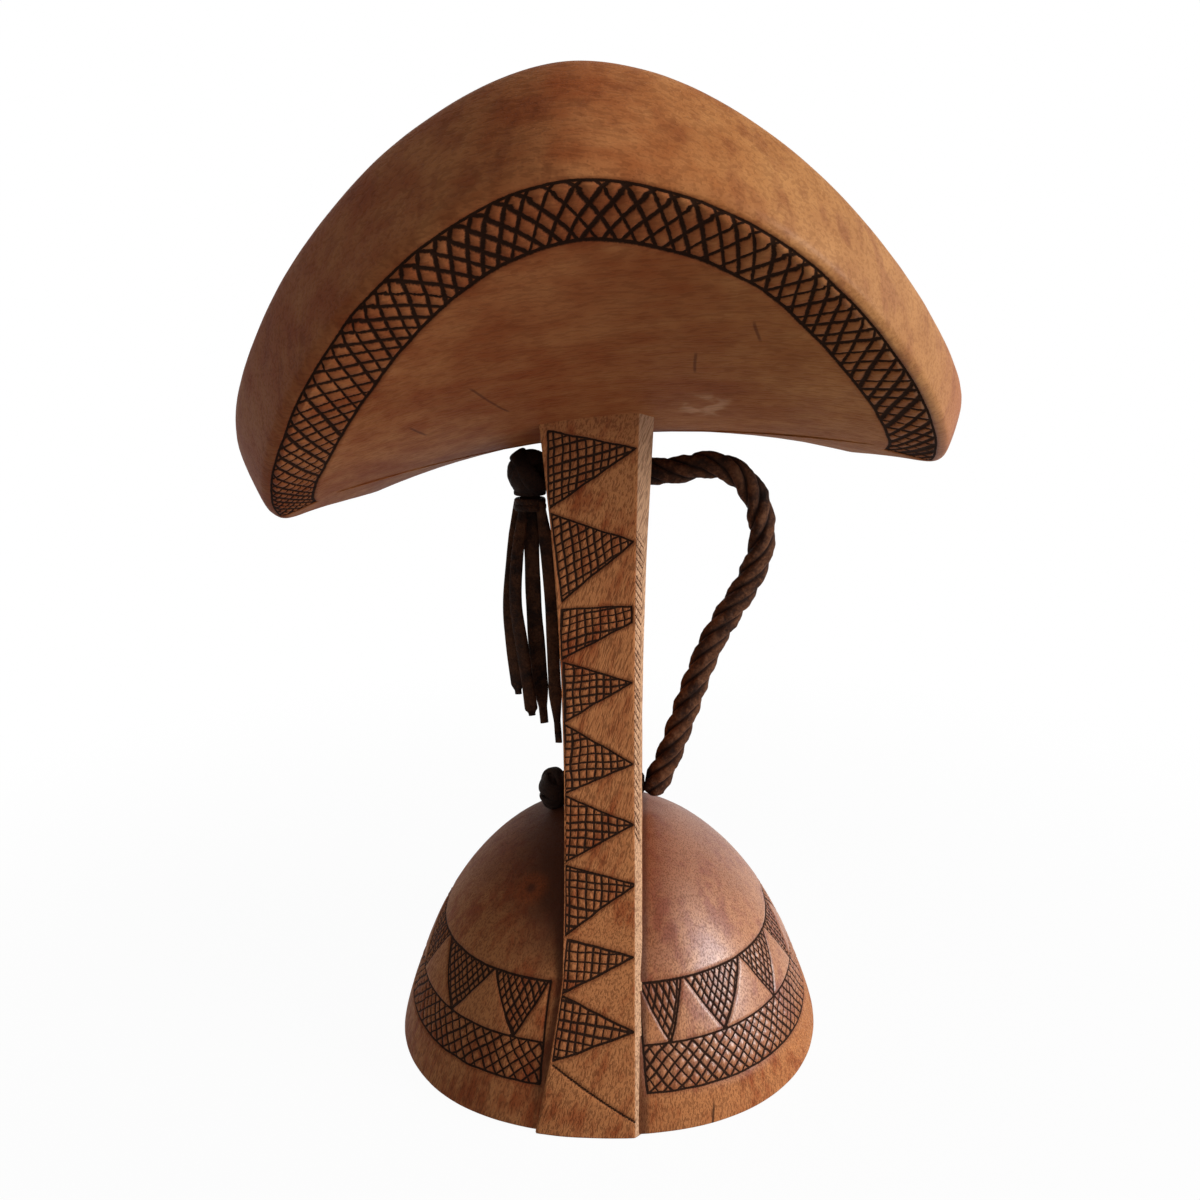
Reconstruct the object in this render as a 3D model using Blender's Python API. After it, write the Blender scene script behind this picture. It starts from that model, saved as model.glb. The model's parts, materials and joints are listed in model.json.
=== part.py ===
"""Carved wooden headrest with a leather strap.

A domed base, a blade-shaped post and a saddle pillow are one block of wood. A twisted strap runs
through two holes in the post, is stopped by a knot at each end and hangs a tassel of four thongs.
Metres, +Z up. The origin is the middle of the base's underside, the pillow is long along Y and
droops along X.
"""

import math

import bmesh
import bpy
from mathutils import Vector

for old_object in list(bpy.data.objects):
    bpy.data.objects.remove(old_object)

# Base: a dome of slightly squared plan that spreads at the ground, with its top leaning left
BASE_RADIUS = 0.0441
BASE_SPREAD = 0.0014
BASE_SPREAD_HEIGHT = 0.0145
BASE_PLAN_POWER = 2.25
DOME_HEIGHT = 0.0459
DOME_HEIGHT_POWER = 1.56
DOME_RADIUS_POWER = 0.50
DOME_LEAN = 0.0008
DOME_SIDES = 56
DOME_STEPS = 12

# Post: a blade, thin along X and deep along Y, waisted in both
POST_LEFT = 0.00735
POST_RIGHT = 0.0076
POST_CHAMFER = 0.0015
POST_WAIST_HEIGHT = 0.078
POST_WAIST_DEPTH = 0.019
POST_FOOT_DEPTH = 0.040
POST_FOOT_POWER = 1.7
POST_PROUD = 0.0004
POST_BLEND = 0.002
POST_HEAD_DEPTH = 0.027
POST_HEAD_POWER = 2.0
POST_HEAD_FLARE = 0.0023
POST_FLARE_START = 0.050
POST_FOOT_FLARE = 0.0046
POST_FOOT_FLARE_HEIGHT = 0.025
POST_FOOT_FLARE_POWER = 1.2
POST_FOOT_ROUND_HEIGHT = 0.030
POST_INTO_PILLOW = 0.006
POST_STEPS = 18

# Pillow: a saddle that rises along Y, droops along X and leans to the left
SEAT_HEIGHT = 0.1222
SEAT_END_LIFT = 0.0317
SEAT_LEFT_DROOP = 0.0120
SEAT_RIGHT_DROOP = 0.0119
SEAT_LEAN = math.radians(4.45)
PILLOW_LEFT = 0.0577
PILLOW_RIGHT = 0.0594
PILLOW_HALF_LENGTH = 0.0810
PILLOW_CORNER = 0.0193
PILLOW_WAIST = 0.0105
PILLOW_WAIST_POWER = 1.4
PILLOW_END_POWER = 1.14
PILLOW_MIDDLE_THICK = 0.0140
PILLOW_TIP_THICK = 0.0224
PILLOW_LEFT_THICK = 0.0152
PILLOW_RIGHT_THICK = 0.0115
PILLOW_LEFT_THIN_POWER = 1.57
PILLOW_RIGHT_THIN_POWER = 4.3
RIM_BULGE = 0.0010
RIM_TOP_ROUND = 0.0030
PILLOW_END_STEPS = 22
PILLOW_SIDE_STEPS = 10
RIM_TURN_STEPS = 2
PILLOW_RING_SHARES = (0.2, 0.4, 0.6, 0.8)
# Each rim ring: share of the thickness, share of the bulge, share of the top's rounding
RIM_RINGS = (
    (0.0, 0.0, 0.0),
    (0.15, 0.7, 0.0),
    (0.5, 1.0, 0.0),
    (0.8, 0.9, 0.04),
    (0.93, 0.55, 0.3),
    (1.0, 0.0, 1.0),
)

# Strap: a rope of twisted thongs through two holes in the post
SEAT_GAP = 0.0003
ROPE_RADIUS = 0.00275
HOLE_CLEARANCE = 0.0004
UPPER_HOLE_DROP = 0.0074
LOWER_HOLE_RISE = 0.0035
UPPER_HOLE_HEIGHT = SEAT_HEIGHT - UPPER_HOLE_DROP
LOWER_HOLE_HEIGHT = DOME_HEIGHT + LOWER_HOLE_RISE
ROPE_END_PROUD = 0.0004
UPPER_KNOT_RADIUS = 0.0051
LOWER_KNOT_RADIUS = 0.0039
ROUND_SIDES = 20
# The strap's free route, seen along Y: X, Z
STRAP_ROUTE = (
    (0.0131, 0.0556),
    (0.0153, 0.0620),
    (0.0182, 0.0705),
    (0.0213, 0.0788),
    (0.0252, 0.0860),
    (0.0292, 0.0928),
    (0.0314, 0.0990),
    (0.0315, 0.1048),
    (0.0298, 0.1104),
    (0.0257, 0.1147),
    (0.0205, 0.1160),
    (0.0168, 0.1153),
)
STRAP_SPACING = 0.0055
STRAP_BEVEL_STEPS = 3
# Turns from the strap's end plane at which its round ends have a ring
STRAP_END_TURNS = (math.radians(80), math.radians(55), math.radians(28))

# Tassel: a binding under the upper knot and four thong tails
BINDING_RADIUS = 0.0076
BINDING_HALF_ANGLE = math.radians(28)
BINDING_STEPS = 5
TAIL_RADIUS = 0.00125
TAIL_ROW = 0.0015
TAIL_SPACING = 0.0040
TAIL_BEVEL_STEPS = 2
# Each tail: its row along Y, then X and Z points from its top to its free end
TAIL_ROUTES = (
    (1, (-0.0174, -0.0186, -0.0195, -0.0193, -0.0183), (0.0975, 0.0890, 0.0790, 0.0685)),
    (-1, (-0.0159, -0.0174, -0.0179, -0.0167, -0.0152), (0.0975, 0.0885, 0.0780, 0.0648)),
    (1, (-0.0145, -0.0147, -0.0145, -0.0137, -0.0130), (0.0990, 0.0850, 0.0720, 0.0622)),
    (-1, (-0.0122, -0.0114, -0.0107, -0.0104, -0.0098), (0.1000, 0.0880, 0.0720, 0.0589)),
)

WOOD_COLOUR = (0.27, 0.115, 0.036, 1.0)
LEATHER_COLOUR = (0.038, 0.017, 0.009, 1.0)
SHARP_ANGLE = math.radians(35)

RIGHT = Vector((1, 0, 0))
ACROSS = Vector((0, 1, 0))
UP = Vector((0, 0, 1))


def make_material(name, colour, roughness):
    """A plain material with the piece's colour."""
    material = bpy.data.materials.new(name)
    material.use_nodes = True
    shader = material.node_tree.nodes["Principled BSDF"]
    shader.inputs["Base Color"].default_value = colour
    shader.inputs["Roughness"].default_value = roughness
    shader.inputs["Metallic"].default_value = 0.0
    return material


WOOD = make_material("wood", WOOD_COLOUR, 0.45)
LEATHER = make_material("leather", LEATHER_COLOUR, 0.7)


def add_object(name, data, material, pivot=None):
    """Puts a mesh or a curve in the scene, under its pivot if it has one."""
    piece = bpy.data.objects.new(name, data)
    bpy.context.scene.collection.objects.link(piece)
    data.materials.append(material)
    piece.parent = pivot
    return piece


def add_pivot(name, place):
    """An empty that stands on a joint's axis."""
    pivot = bpy.data.objects.new(name, None)
    pivot.location = place
    pivot.empty_display_size = 0.01
    bpy.context.scene.collection.objects.link(pivot)
    return pivot


def loft(name, rings, start=None, end=None):
    """A closed mesh through rings of as many points each, with a point or a flat face at each end."""
    shape = bmesh.new()
    loops = [[shape.verts.new(point) for point in ring] for ring in rings]
    count = len(rings[0])
    for low, high in zip(loops, loops[1:]):
        for index in range(count):
            after = (index + 1) % count
            shape.faces.new((low[index], low[after], high[after], high[index]))
    for loop, tip in ((loops[0], start), (loops[-1], end)):
        if tip is None:
            shape.faces.new(loop)
            continue
        centre = shape.verts.new(tip)
        for index in range(count):
            shape.faces.new((loop[index], loop[(index + 1) % count], centre))
    bmesh.ops.recalc_face_normals(shape, faces=shape.faces)
    mesh = bpy.data.meshes.new(name)
    shape.to_mesh(mesh)
    shape.free()
    mesh.shade_smooth()
    mesh.set_sharp_from_angle(angle=SHARP_ANGLE)
    return mesh


def circle(centre, first, second, radius, sides):
    """Points of a circle whose plane holds the directions first and second."""
    turns = [math.tau * index / sides for index in range(sides)]
    return [centre + radius * (math.cos(turn) * first + math.sin(turn) * second) for turn in turns]


def helper(name, mesh):
    """A shape that is only joined to another or cut out of it."""
    shape = add_object(name, mesh, WOOD)
    shape.hide_render = True
    shape.display_type = "WIRE"
    return shape


def combine(piece, other, operation):
    """Joins another shape to a piece, or cuts it out."""
    modifier = piece.modifiers.new(operation.lower() + "_" + other.name, "BOOLEAN")
    modifier.operation = operation
    modifier.object = other
    modifier.solver = "EXACT"


def smooth_points(route, spacing):
    """Points about a spacing apart on a Catmull-Rom curve through the route."""
    padded = [2 * route[0] - route[1], *route, 2 * route[-1] - route[-2]]
    points = []
    for before, here, there, beyond in zip(padded, padded[1:], padded[2:], padded[3:]):
        steps = max(1, round((there - here).length / spacing))
        for step in range(steps):
            share = step / steps
            points.append(
                0.5
                * (
                    2 * here
                    + (there - before) * share
                    + (2 * before - 5 * here + 4 * there - beyond) * share**2
                    + (3 * here - before - 3 * there + beyond) * share**3
                )
            )
    return [*points, route[-1].copy()]


def tube(name, points, radii, material, pivot, bevel_steps):
    """A round cord along points, with its radius at each."""
    curve = bpy.data.curves.new(name, "CURVE")
    curve.dimensions = "3D"
    curve.bevel_depth = 1.0
    curve.bevel_resolution = bevel_steps
    curve.use_fill_caps = True
    curve.twist_mode = "MINIMUM"
    spline = curve.splines.new("POLY")
    spline.points.add(len(points) - 1)
    for spot, point, radius in zip(spline.points, points, radii):
        spot.co = (*(point - pivot.location), 1.0)
        spot.radius = radius
    return add_object(name, curve, material, pivot)


# Wood


def dome_radius(height):
    """The dome's radius at a height."""
    share = max(0.0, 1 - (height / DOME_HEIGHT) ** DOME_HEIGHT_POWER)
    spread = BASE_SPREAD * max(0.0, 1 - height / BASE_SPREAD_HEIGHT) ** 2
    return (BASE_RADIUS - BASE_SPREAD) * share**DOME_RADIUS_POWER + spread


def dome_ring(centre, radius):
    """Points of the dome's plan, a circle that is a little fuller between X and Y."""
    ring = []
    for index in range(DOME_SIDES):
        turn = math.tau * index / DOME_SIDES
        across = math.cos(turn)
        along = math.sin(turn)
        full = abs(across) ** BASE_PLAN_POWER + abs(along) ** BASE_PLAN_POWER
        reach = radius * full ** (-1 / BASE_PLAN_POWER)
        ring.append(centre + reach * (across * RIGHT + along * ACROSS))
    return ring


def make_dome():
    """The base, with rings closer together towards the top."""
    shares = [math.sin(0.5 * math.pi * step / DOME_STEPS) for step in range(DOME_STEPS)]
    rings = []
    for share in shares:
        centre = Vector((-DOME_LEAN * share, 0, DOME_HEIGHT * share))
        rings.append(dome_ring(centre, dome_radius(centre.z)))
    return loft("carved_body", rings, end=Vector((-DOME_LEAN, 0, DOME_HEIGHT)))


def post_depth(height):
    """Half of the blade's depth along Y at a height, where it runs down the dome a little proud of it."""
    if height < POST_WAIST_HEIGHT:
        share = (POST_WAIST_HEIGHT - height) / POST_WAIST_HEIGHT
        edge = POST_WAIST_DEPTH + (POST_FOOT_DEPTH - POST_WAIST_DEPTH) * share**POST_FOOT_POWER
        over = dome_radius(min(height, DOME_HEIGHT)) + POST_PROUD - edge
        return edge + (over + math.hypot(over, POST_BLEND)) / 2
    share = (height - POST_WAIST_HEIGHT) / (SEAT_HEIGHT - POST_WAIST_HEIGHT)
    return POST_WAIST_DEPTH + (POST_HEAD_DEPTH - POST_WAIST_DEPTH) * share**POST_HEAD_POWER


def head_flare(height):
    """How far the blade widens to each side towards the pillow."""
    share = max(0.0, height - POST_FLARE_START) / (SEAT_HEIGHT - POST_FLARE_START)
    return POST_HEAD_FLARE * share**2


def post_left(height):
    """Distance from the middle to the blade's left face, which spreads at the foot."""
    share = max(0.0, 1 - height / POST_FOOT_FLARE_HEIGHT)
    return POST_LEFT + head_flare(height) + POST_FOOT_FLARE * share**POST_FOOT_FLARE_POWER


def post_right(height):
    """Distance from the middle to the blade's right face."""
    return POST_RIGHT + head_flare(height)


def post_corner_depth(height, x):
    """Half of the blade's depth at a corner, where the foot is rounded like the dome's edge."""
    share = max(0.0, 1 - height / POST_FOOT_ROUND_HEIGHT)
    edge = (BASE_RADIUS**BASE_PLAN_POWER - abs(x) ** BASE_PLAN_POWER) ** (1 / BASE_PLAN_POWER)
    return post_depth(height) - share * (BASE_RADIUS - edge)


def make_post():
    """The blade, from the base's underside to inside the pillow, chamfered along its right edges."""
    top = SEAT_HEIGHT + POST_INTO_PILLOW
    rings = []
    for step in range(POST_STEPS + 1):
        height = top * step / POST_STEPS
        left = -post_left(height)
        right = post_right(height)
        depth = post_depth(height)
        cut = POST_CHAMFER + head_flare(height) / 2
        left_depth = post_corner_depth(height, left)
        right_depth = post_corner_depth(height, right - cut)
        corners = (
            (left, -left_depth),
            (0, -depth),
            (right - cut, -right_depth),
            (right, -right_depth + cut),
            (right, right_depth - cut),
            (right - cut, right_depth),
            (0, depth),
            (left, left_depth),
        )
        rings.append([Vector((x, y, height)) for x, y in corners])
    return loft("post_shape", rings)


def seat_bends(x):
    """How fast the pillow's underside bends, down along X on this side and up along Y."""
    down = SEAT_LEFT_DROOP / PILLOW_LEFT**2 if x < 0 else SEAT_RIGHT_DROOP / PILLOW_RIGHT**2
    return down, SEAT_END_LIFT / PILLOW_HALF_LENGTH**2


def seat_underside(x, y):
    """Height of the pillow's underside."""
    down, lift = seat_bends(x)
    return SEAT_HEIGHT + lift * y * y - down * x * x + math.tan(SEAT_LEAN) * x


def seat_normal(x, y):
    """Upward direction square to the pillow's underside."""
    down, lift = seat_bends(x)
    return Vector((2 * down * x - math.tan(SEAT_LEAN), -2 * lift * y, 1)).normalized()


def pillow_edge():
    """X and Y of the underside's edge and the thickness there, starting at the front left corner."""
    edge = []
    for end in (-1, 1):
        for step in range(PILLOW_END_STEPS):
            turn = end * math.pi * (0.5 - step / PILLOW_END_STEPS)
            side = math.sin(turn)
            along = abs(math.cos(turn))
            width = PILLOW_LEFT if side < 0 else PILLOW_RIGHT
            thick = PILLOW_LEFT_THICK if side < 0 else PILLOW_RIGHT_THICK
            power = PILLOW_LEFT_THIN_POWER if side < 0 else PILLOW_RIGHT_THIN_POWER
            x = math.copysign(width * abs(side) ** PILLOW_END_POWER, side)
            reach = PILLOW_HALF_LENGTH - PILLOW_CORNER
            y = end * (PILLOW_CORNER + reach * along**PILLOW_END_POWER)
            edge.append((x, y, thick + (PILLOW_TIP_THICK - thick) * along**power))
        for step in range(PILLOW_SIDE_STEPS):
            turn = math.pi * step / PILLOW_SIDE_STEPS
            width = PILLOW_RIGHT if end < 0 else PILLOW_LEFT
            thick = PILLOW_RIGHT_THICK if end < 0 else PILLOW_LEFT_THICK
            x = -end * (width - PILLOW_WAIST * math.sin(turn) ** PILLOW_WAIST_POWER)
            edge.append((x, end * PILLOW_CORNER * math.cos(turn), thick))
    return edge


def make_pillow():
    """The saddle: its underside from the middle to the edge, its rim, and its top back to the middle."""
    edge = pillow_edge()
    count = len(edge)
    under = []
    top = []
    for share in PILLOW_RING_SHARES:
        low_ring = []
        high_ring = []
        for x, y, thick in edge:
            place = Vector((x * share, y * share, seat_underside(x * share, y * share)))
            depth = PILLOW_MIDDLE_THICK + (thick - PILLOW_MIDDLE_THICK) * share**2
            low_ring.append(place)
            high_ring.append(place + seat_normal(place.x, place.y) * depth)
        under.append(low_ring)
        top.append(high_ring)
    rim = [[] for _ in RIM_RINGS]
    for index, (x, y, thick) in enumerate(edge):
        place = Vector((x, y, seat_underside(x, y)))
        up = seat_normal(x, y)
        before = Vector((*edge[index - RIM_TURN_STEPS][:2], 0))
        after = Vector((*edge[(index + RIM_TURN_STEPS) % count][:2], 0))
        out = (after - before).cross(UP)
        out = (out - up * out.dot(up)).normalized()
        for ring, (rise, bulge, round_off) in zip(rim, RIM_RINGS):
            offset = RIM_BULGE * bulge - RIM_TOP_ROUND * round_off
            ring.append(place + up * thick * rise + out * offset)
    middle = SEAT_HEIGHT * UP
    crown = middle + seat_normal(0, 0) * PILLOW_MIDDLE_THICK
    return loft("pillow_shape", [*under, *rim, *reversed(top)], start=middle, end=crown)


def make_hole(name, height):
    """A cutter for a strap hole, right through the post along X."""
    reach = 2 * (post_left(height) + post_right(height))
    ends = (Vector((-reach, 0, height)), Vector((reach, 0, height)))
    radius = ROPE_RADIUS + HOLE_CLEARANCE
    rings = [circle(end, ACROSS, UP, radius, ROUND_SIDES) for end in ends]
    return helper(name, loft(name, rings))


def make_wood():
    """Base, post and pillow as one solid with its two strap holes."""
    body = add_object("carved_body", make_dome(), WOOD)
    combine(body, helper("post_shape", make_post()), "UNION")
    combine(body, helper("pillow_shape", make_pillow()), "UNION")
    combine(body, make_hole("upper_hole", UPPER_HOLE_HEIGHT), "DIFFERENCE")
    combine(body, make_hole("lower_hole", LOWER_HOLE_HEIGHT), "DIFFERENCE")


# Leather


def knot_centre(height, radius):
    """Middle of a stopper knot that bears on the post's left face."""
    return Vector((-post_left(height) - SEAT_GAP - radius, 0, height))


def rope_end(height):
    """X of the square end of the rope that fills a hole, a little proud of the post's right face."""
    return post_right(height) + ROPE_END_PROUD


def strap_end(height):
    """Middle of the strap's round end, which turns in front of the rope in the hole."""
    return Vector((rope_end(height) + SEAT_GAP + ROPE_RADIUS, 0, height))


def make_knot(name, height, radius):
    """A stopper knot and the rope that runs on from it through the hole."""
    centre = knot_centre(height, radius)
    neck = math.asin(ROPE_RADIUS / radius)
    steps = ROUND_SIDES // 2
    rings = []
    for step in range(1, steps + 1):
        turn = (math.pi - neck) * step / steps
        place = centre - Vector((radius * math.cos(turn), 0, 0))
        rings.append(circle(place, ACROSS, UP, radius * math.sin(turn), ROUND_SIDES))
    end = Vector((rope_end(height), 0, height))
    rings.append(circle(end, ACROSS, UP, ROPE_RADIUS, ROUND_SIDES))
    add_object(name, loft(name, rings, start=centre - Vector((radius, 0, 0))), LEATHER)


def make_strap():
    """The loop that swings on the line between its two round ends."""
    low = strap_end(LOWER_HOLE_HEIGHT)
    high = strap_end(UPPER_HOLE_HEIGHT)
    route = [low, *(Vector((x, 0, z)) for x, z in STRAP_ROUTE), high]
    points = smooth_points(route, STRAP_SPACING)
    first = (points[0] - points[1]).normalized() * ROPE_RADIUS
    last = (points[-1] - points[-2]).normalized() * ROPE_RADIUS
    end_radii = [math.cos(turn) * ROPE_RADIUS for turn in STRAP_END_TURNS]
    radii = [*end_radii, *[ROPE_RADIUS] * len(points), *reversed(end_radii)]
    starts = [points[0] + first * math.sin(turn) for turn in STRAP_END_TURNS]
    ends = [points[-1] + last * math.sin(turn) for turn in reversed(STRAP_END_TURNS)]
    pivot = add_pivot("strap_pivot", (low + high) / 2)
    tube("strap_loop", [*starts, *points, *ends], radii, LEATHER, pivot, STRAP_BEVEL_STEPS)


def make_binding(pivot):
    """The turn of thong that holds the tails, a cap that slides round the knot."""
    inner = UPPER_KNOT_RADIUS + SEAT_GAP
    shares = [step / BINDING_STEPS for step in range(1, BINDING_STEPS + 1)]
    spots = [(inner, share) for share in shares]
    spots += [(BINDING_RADIUS, share) for share in reversed(shares)]
    rings = []
    for radius, share in spots:
        turn = BINDING_HALF_ANGLE * share
        centre = -radius * math.cos(turn) * UP
        rings.append(circle(centre, RIGHT, ACROSS, radius * math.sin(turn), ROUND_SIDES))
    mesh = loft("tassel_binding", rings, start=-inner * UP, end=-BINDING_RADIUS * UP)
    add_object("tassel_binding", mesh, LEATHER, pivot)


def make_tail(name, row, across, heights, pivot):
    """One thong that hangs from just under the binding."""
    knot = pivot.location
    inside = max(0.0, math.hypot(across[0] - knot.x, row * TAIL_ROW) - TAIL_RADIUS)
    drop = math.sqrt((BINDING_RADIUS + SEAT_GAP) ** 2 - inside**2)
    heights = (knot.z - drop, *heights)
    route = [Vector((x, row * TAIL_ROW, z)) for x, z in zip(across, heights)]
    points = smooth_points(route, TAIL_SPACING)
    tube(name, points, [TAIL_RADIUS] * len(points), LEATHER, pivot, TAIL_BEVEL_STEPS)


def make_leather():
    """Knots, strap and tassel."""
    make_knot("upper_knot", UPPER_HOLE_HEIGHT, UPPER_KNOT_RADIUS)
    make_knot("lower_knot", LOWER_HOLE_HEIGHT, LOWER_KNOT_RADIUS)
    make_strap()
    pivot = add_pivot("tassel_pivot", knot_centre(UPPER_HOLE_HEIGHT, UPPER_KNOT_RADIUS))
    make_binding(pivot)
    for number, (row, across, heights) in enumerate(TAIL_ROUTES, start=1):
        make_tail(f"tail_{number}", row, across, heights, pivot)


make_wood()
make_leather()
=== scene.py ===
"""Looks of a carved wooden headrest with a leather strap.

The wood gets its hand-cut lines, pores and wear, and the leather its twist, knots and thongs.
Laid out as an add-on: each operator makes one piece or a group of like pieces, in metres, +Z up.
"""

import json
import math
import random

import bmesh
import bpy
import numpy as np
from bpy.props import FloatProperty, FloatVectorProperty, PointerProperty
from bpy.types import Operator, Panel, PropertyGroup
from mathutils import Matrix, Vector, noise
from mathutils.kdtree import KDTree

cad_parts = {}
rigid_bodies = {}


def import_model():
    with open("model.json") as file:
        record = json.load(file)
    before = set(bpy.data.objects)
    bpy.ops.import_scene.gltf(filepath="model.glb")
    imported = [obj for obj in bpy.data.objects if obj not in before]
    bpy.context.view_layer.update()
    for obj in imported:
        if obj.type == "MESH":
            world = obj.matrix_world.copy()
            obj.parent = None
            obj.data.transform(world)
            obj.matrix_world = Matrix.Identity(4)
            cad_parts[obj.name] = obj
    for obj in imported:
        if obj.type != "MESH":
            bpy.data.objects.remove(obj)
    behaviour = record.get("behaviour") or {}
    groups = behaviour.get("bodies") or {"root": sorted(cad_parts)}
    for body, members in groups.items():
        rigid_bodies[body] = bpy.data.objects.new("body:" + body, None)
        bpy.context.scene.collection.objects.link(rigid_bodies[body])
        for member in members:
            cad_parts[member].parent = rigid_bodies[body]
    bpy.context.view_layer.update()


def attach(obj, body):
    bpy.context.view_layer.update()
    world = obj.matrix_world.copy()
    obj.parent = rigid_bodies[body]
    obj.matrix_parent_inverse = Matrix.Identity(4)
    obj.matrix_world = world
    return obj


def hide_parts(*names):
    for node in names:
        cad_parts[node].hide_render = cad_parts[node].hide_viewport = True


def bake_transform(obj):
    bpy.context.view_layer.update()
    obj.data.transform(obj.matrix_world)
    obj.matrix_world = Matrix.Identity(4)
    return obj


for old_object in list(bpy.data.objects):
    bpy.data.objects.remove(old_object)

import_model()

bl_info = {
    "name": "Carved Headrest",
    "version": (1, 0, 0),
    "blender": (4, 5, 0),
    "location": "3D View > Sidebar > Headrest",
    "description": "Makes the wood and leather of a carved headrest",
    "category": "Object",
}

MM = 0.001
FAR = 5.0

# Rim of the pillow from its underside to its top: share of the thickness, then shares of its bulge and of
# the rounding of its upper and its lower edge
RIM_RINGS = (
    (0.0, 0.0, 0.0, 1.0),
    (0.018, 0.1, 0.0, 0.5),
    (0.065, 0.4, 0.0, 0.12),
    (0.15, 0.7, 0.0, 0.0),
    (0.5, 1.0, 0.0, 0.0),
    (0.8, 0.9, 0.04, 0.0),
    (0.93, 0.55, 0.3, 0.0),
    (1.0, 0.0, 1.0, 0.0),
)

# Shares of the rim's thickness that get close rings, since the band's outer line runs there
RIM_LOW_RISES = (0.0, 0.004, 0.01, 0.018, 0.028, 0.04, 0.055, 0.075, 0.1, 0.13, 0.16)

# Hatched triangles down the post's front in millimetres: corners as X and Z, then the cross cuts' slope
POST_TRIANGLES = (
    (((-8.2, 123.8), (6.8, 120.6), (-8.8, 110.0)), 15),
    (((-8.4, 109.0), (6.3, 103.8), (-7.0, 92.7)), 30),
    (((-7.2, 91.0), (5.8, 91.5), (5.8, 88.5), (-7.5, 81.3)), 14),
    (((-7.2, 80.8), (5.5, 76.8), (-7.2, 69.2)), 6),
    (((-7.2, 68.8), (5.8, 61.3), (-7.2, 55.8)), 5),
    (((-7.0, 55.2), (5.8, 50.0), (-7.4, 43.0)), -3),
    (((-7.0, 42.5), (6.2, 39.2), (-7.0, 31.0)), -5),
    (((-6.5, 30.5), (5.8, 28.1), (-7.4, 22.7)), -4),
    (((-7.4, 22.4), (5.8, 17.0), (-8.8, 12.2)), -8),
)
POST_LAST_CUT = ((-8.8, 11.5), (6.0, 2.7))
# Nicks along the chamfers: between which heights, how far apart, how far across, how steep and how thin
NICK_HEIGHTS = (48.0, 106.0)
NICK_SPACING = 1.45
NICK_REACH = 0.7
NICK_FALL = 2.2
NICK_THINNESS = 2.0

# Hatched triangles round the dome, in degrees from the front: left corner, right corner, point below
DOME_TRIANGLES = (
    (-89.0, -62.0, -70.5),
    (-60.0, -34.8, -46.2),
    (-34.2, -16.0, -24.0),
    (12.3, 25.3, 19.0),
    (26.7, 48.0, 35.0),
    (48.7, 67.3, 56.3),
    (69.3, 90.5, 77.3),
)
DOME_POST_LINES = (-15.2, 11.5)

# The band under the pillow, at distances along it from its tip in millimetres: how far in from the edge its
# outer and inner lines run, the slope in degrees and the spacing of its rising and its falling cuts, and how
# bold they are
BAND = (
    (-95, 0.2, 6.8, 28, 2.4, 42, 2.2, 0.9),
    (-80, 0.4, 8.9, 30, 3.4, 45, 3.0, 1.0),
    (-65, 0.6, 9.9, 33, 4.1, 47, 3.6, 1.1),
    (-50, 0.3, 10.0, 42, 3.8, 47, 3.3, 1.1),
    (-35, 0.0, 9.3, 54, 3.0, 46, 3.1, 1.2),
    (-15, 0.0, 8.0, 56, 2.8, 45, 3.0, 1.2),
    (10, 0.3, 7.6, 50, 2.9, 48, 2.9, 1.2),
    (30, 0.0, 7.1, 53, 2.9, 55, 2.7, 1.1),
    (45, 0.6, 8.3, 58, 2.9, 47, 3.0, 1.2),
    (60, 0.8, 9.1, 72, 3.2, 37, 4.0, 1.6),
    (75, 1.2, 9.2, 78, 3.7, 28, 4.6, 1.8),
    (90, 1.2, 8.7, 68, 4.2, 25, 4.2, 1.8),
)

# How far the band runs from its tip to each side, in millimetres
BAND_END = 99.0

# Half of a cut's width and how far hatching runs past its patch, in millimetres, and the least and
# greatest share of that width
CUT_HALF_WIDTH = 0.42
CUT_OVERRUN = 0.2
CUT_WIDTHS = (0.72, 1.3)

# A small knot in the dome's wood, the pillow's darker middle below, a crack in the base's edge, and
# scratches under the pillow from one spot to another, in millimetres
KNOT_MARK = (-14.0, -20.5, 35.8)
UNDER_MIDDLE = (0.0, -50.0, 135.0)
CRACK_X = 20.1
SCRATCHES = (
    ((15.6, -52.2), (15.9, -45.5)),
    ((23.0, -59.9), (24.8, -54.6)),
    ((-18.0, -48.8), (-13.2, -36.6)),
    ((-29.1, -41.4), (-27.2, -35.3)),
)

# Scale of the pores in the upright grain of the base and the post
UPRIGHT_GRAIN = (3500, 3500, 470)

# Shares of the way out from the middle at which the plain undersides and the top have their rings
BASE_UNDER_SHARES = (0.25, 0.5, 0.75, 0.95)
PILLOW_UNDER_SHARES = (0.06, 0.16, 0.28, 0.4, 0.52, 0.64, 0.76, 0.88)
PILLOW_TOP_SHARES = (0.06, 0.16, 0.28, 0.4, 0.52, 0.64, 0.74, 0.82, 0.88)

WHITE = (1, 1, 1, 1)

# The strap's free route seen along Y, as X and Z
STRAP_ROUTE = (
    (0.0131, 0.0556),
    (0.0153, 0.0620),
    (0.0182, 0.0705),
    (0.0213, 0.0788),
    (0.0252, 0.0860),
    (0.0292, 0.0928),
    (0.0314, 0.0990),
    (0.0315, 0.1048),
    (0.0298, 0.1104),
    (0.0257, 0.1147),
    (0.0205, 0.1160),
    (0.0168, 0.1153),
)

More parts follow.
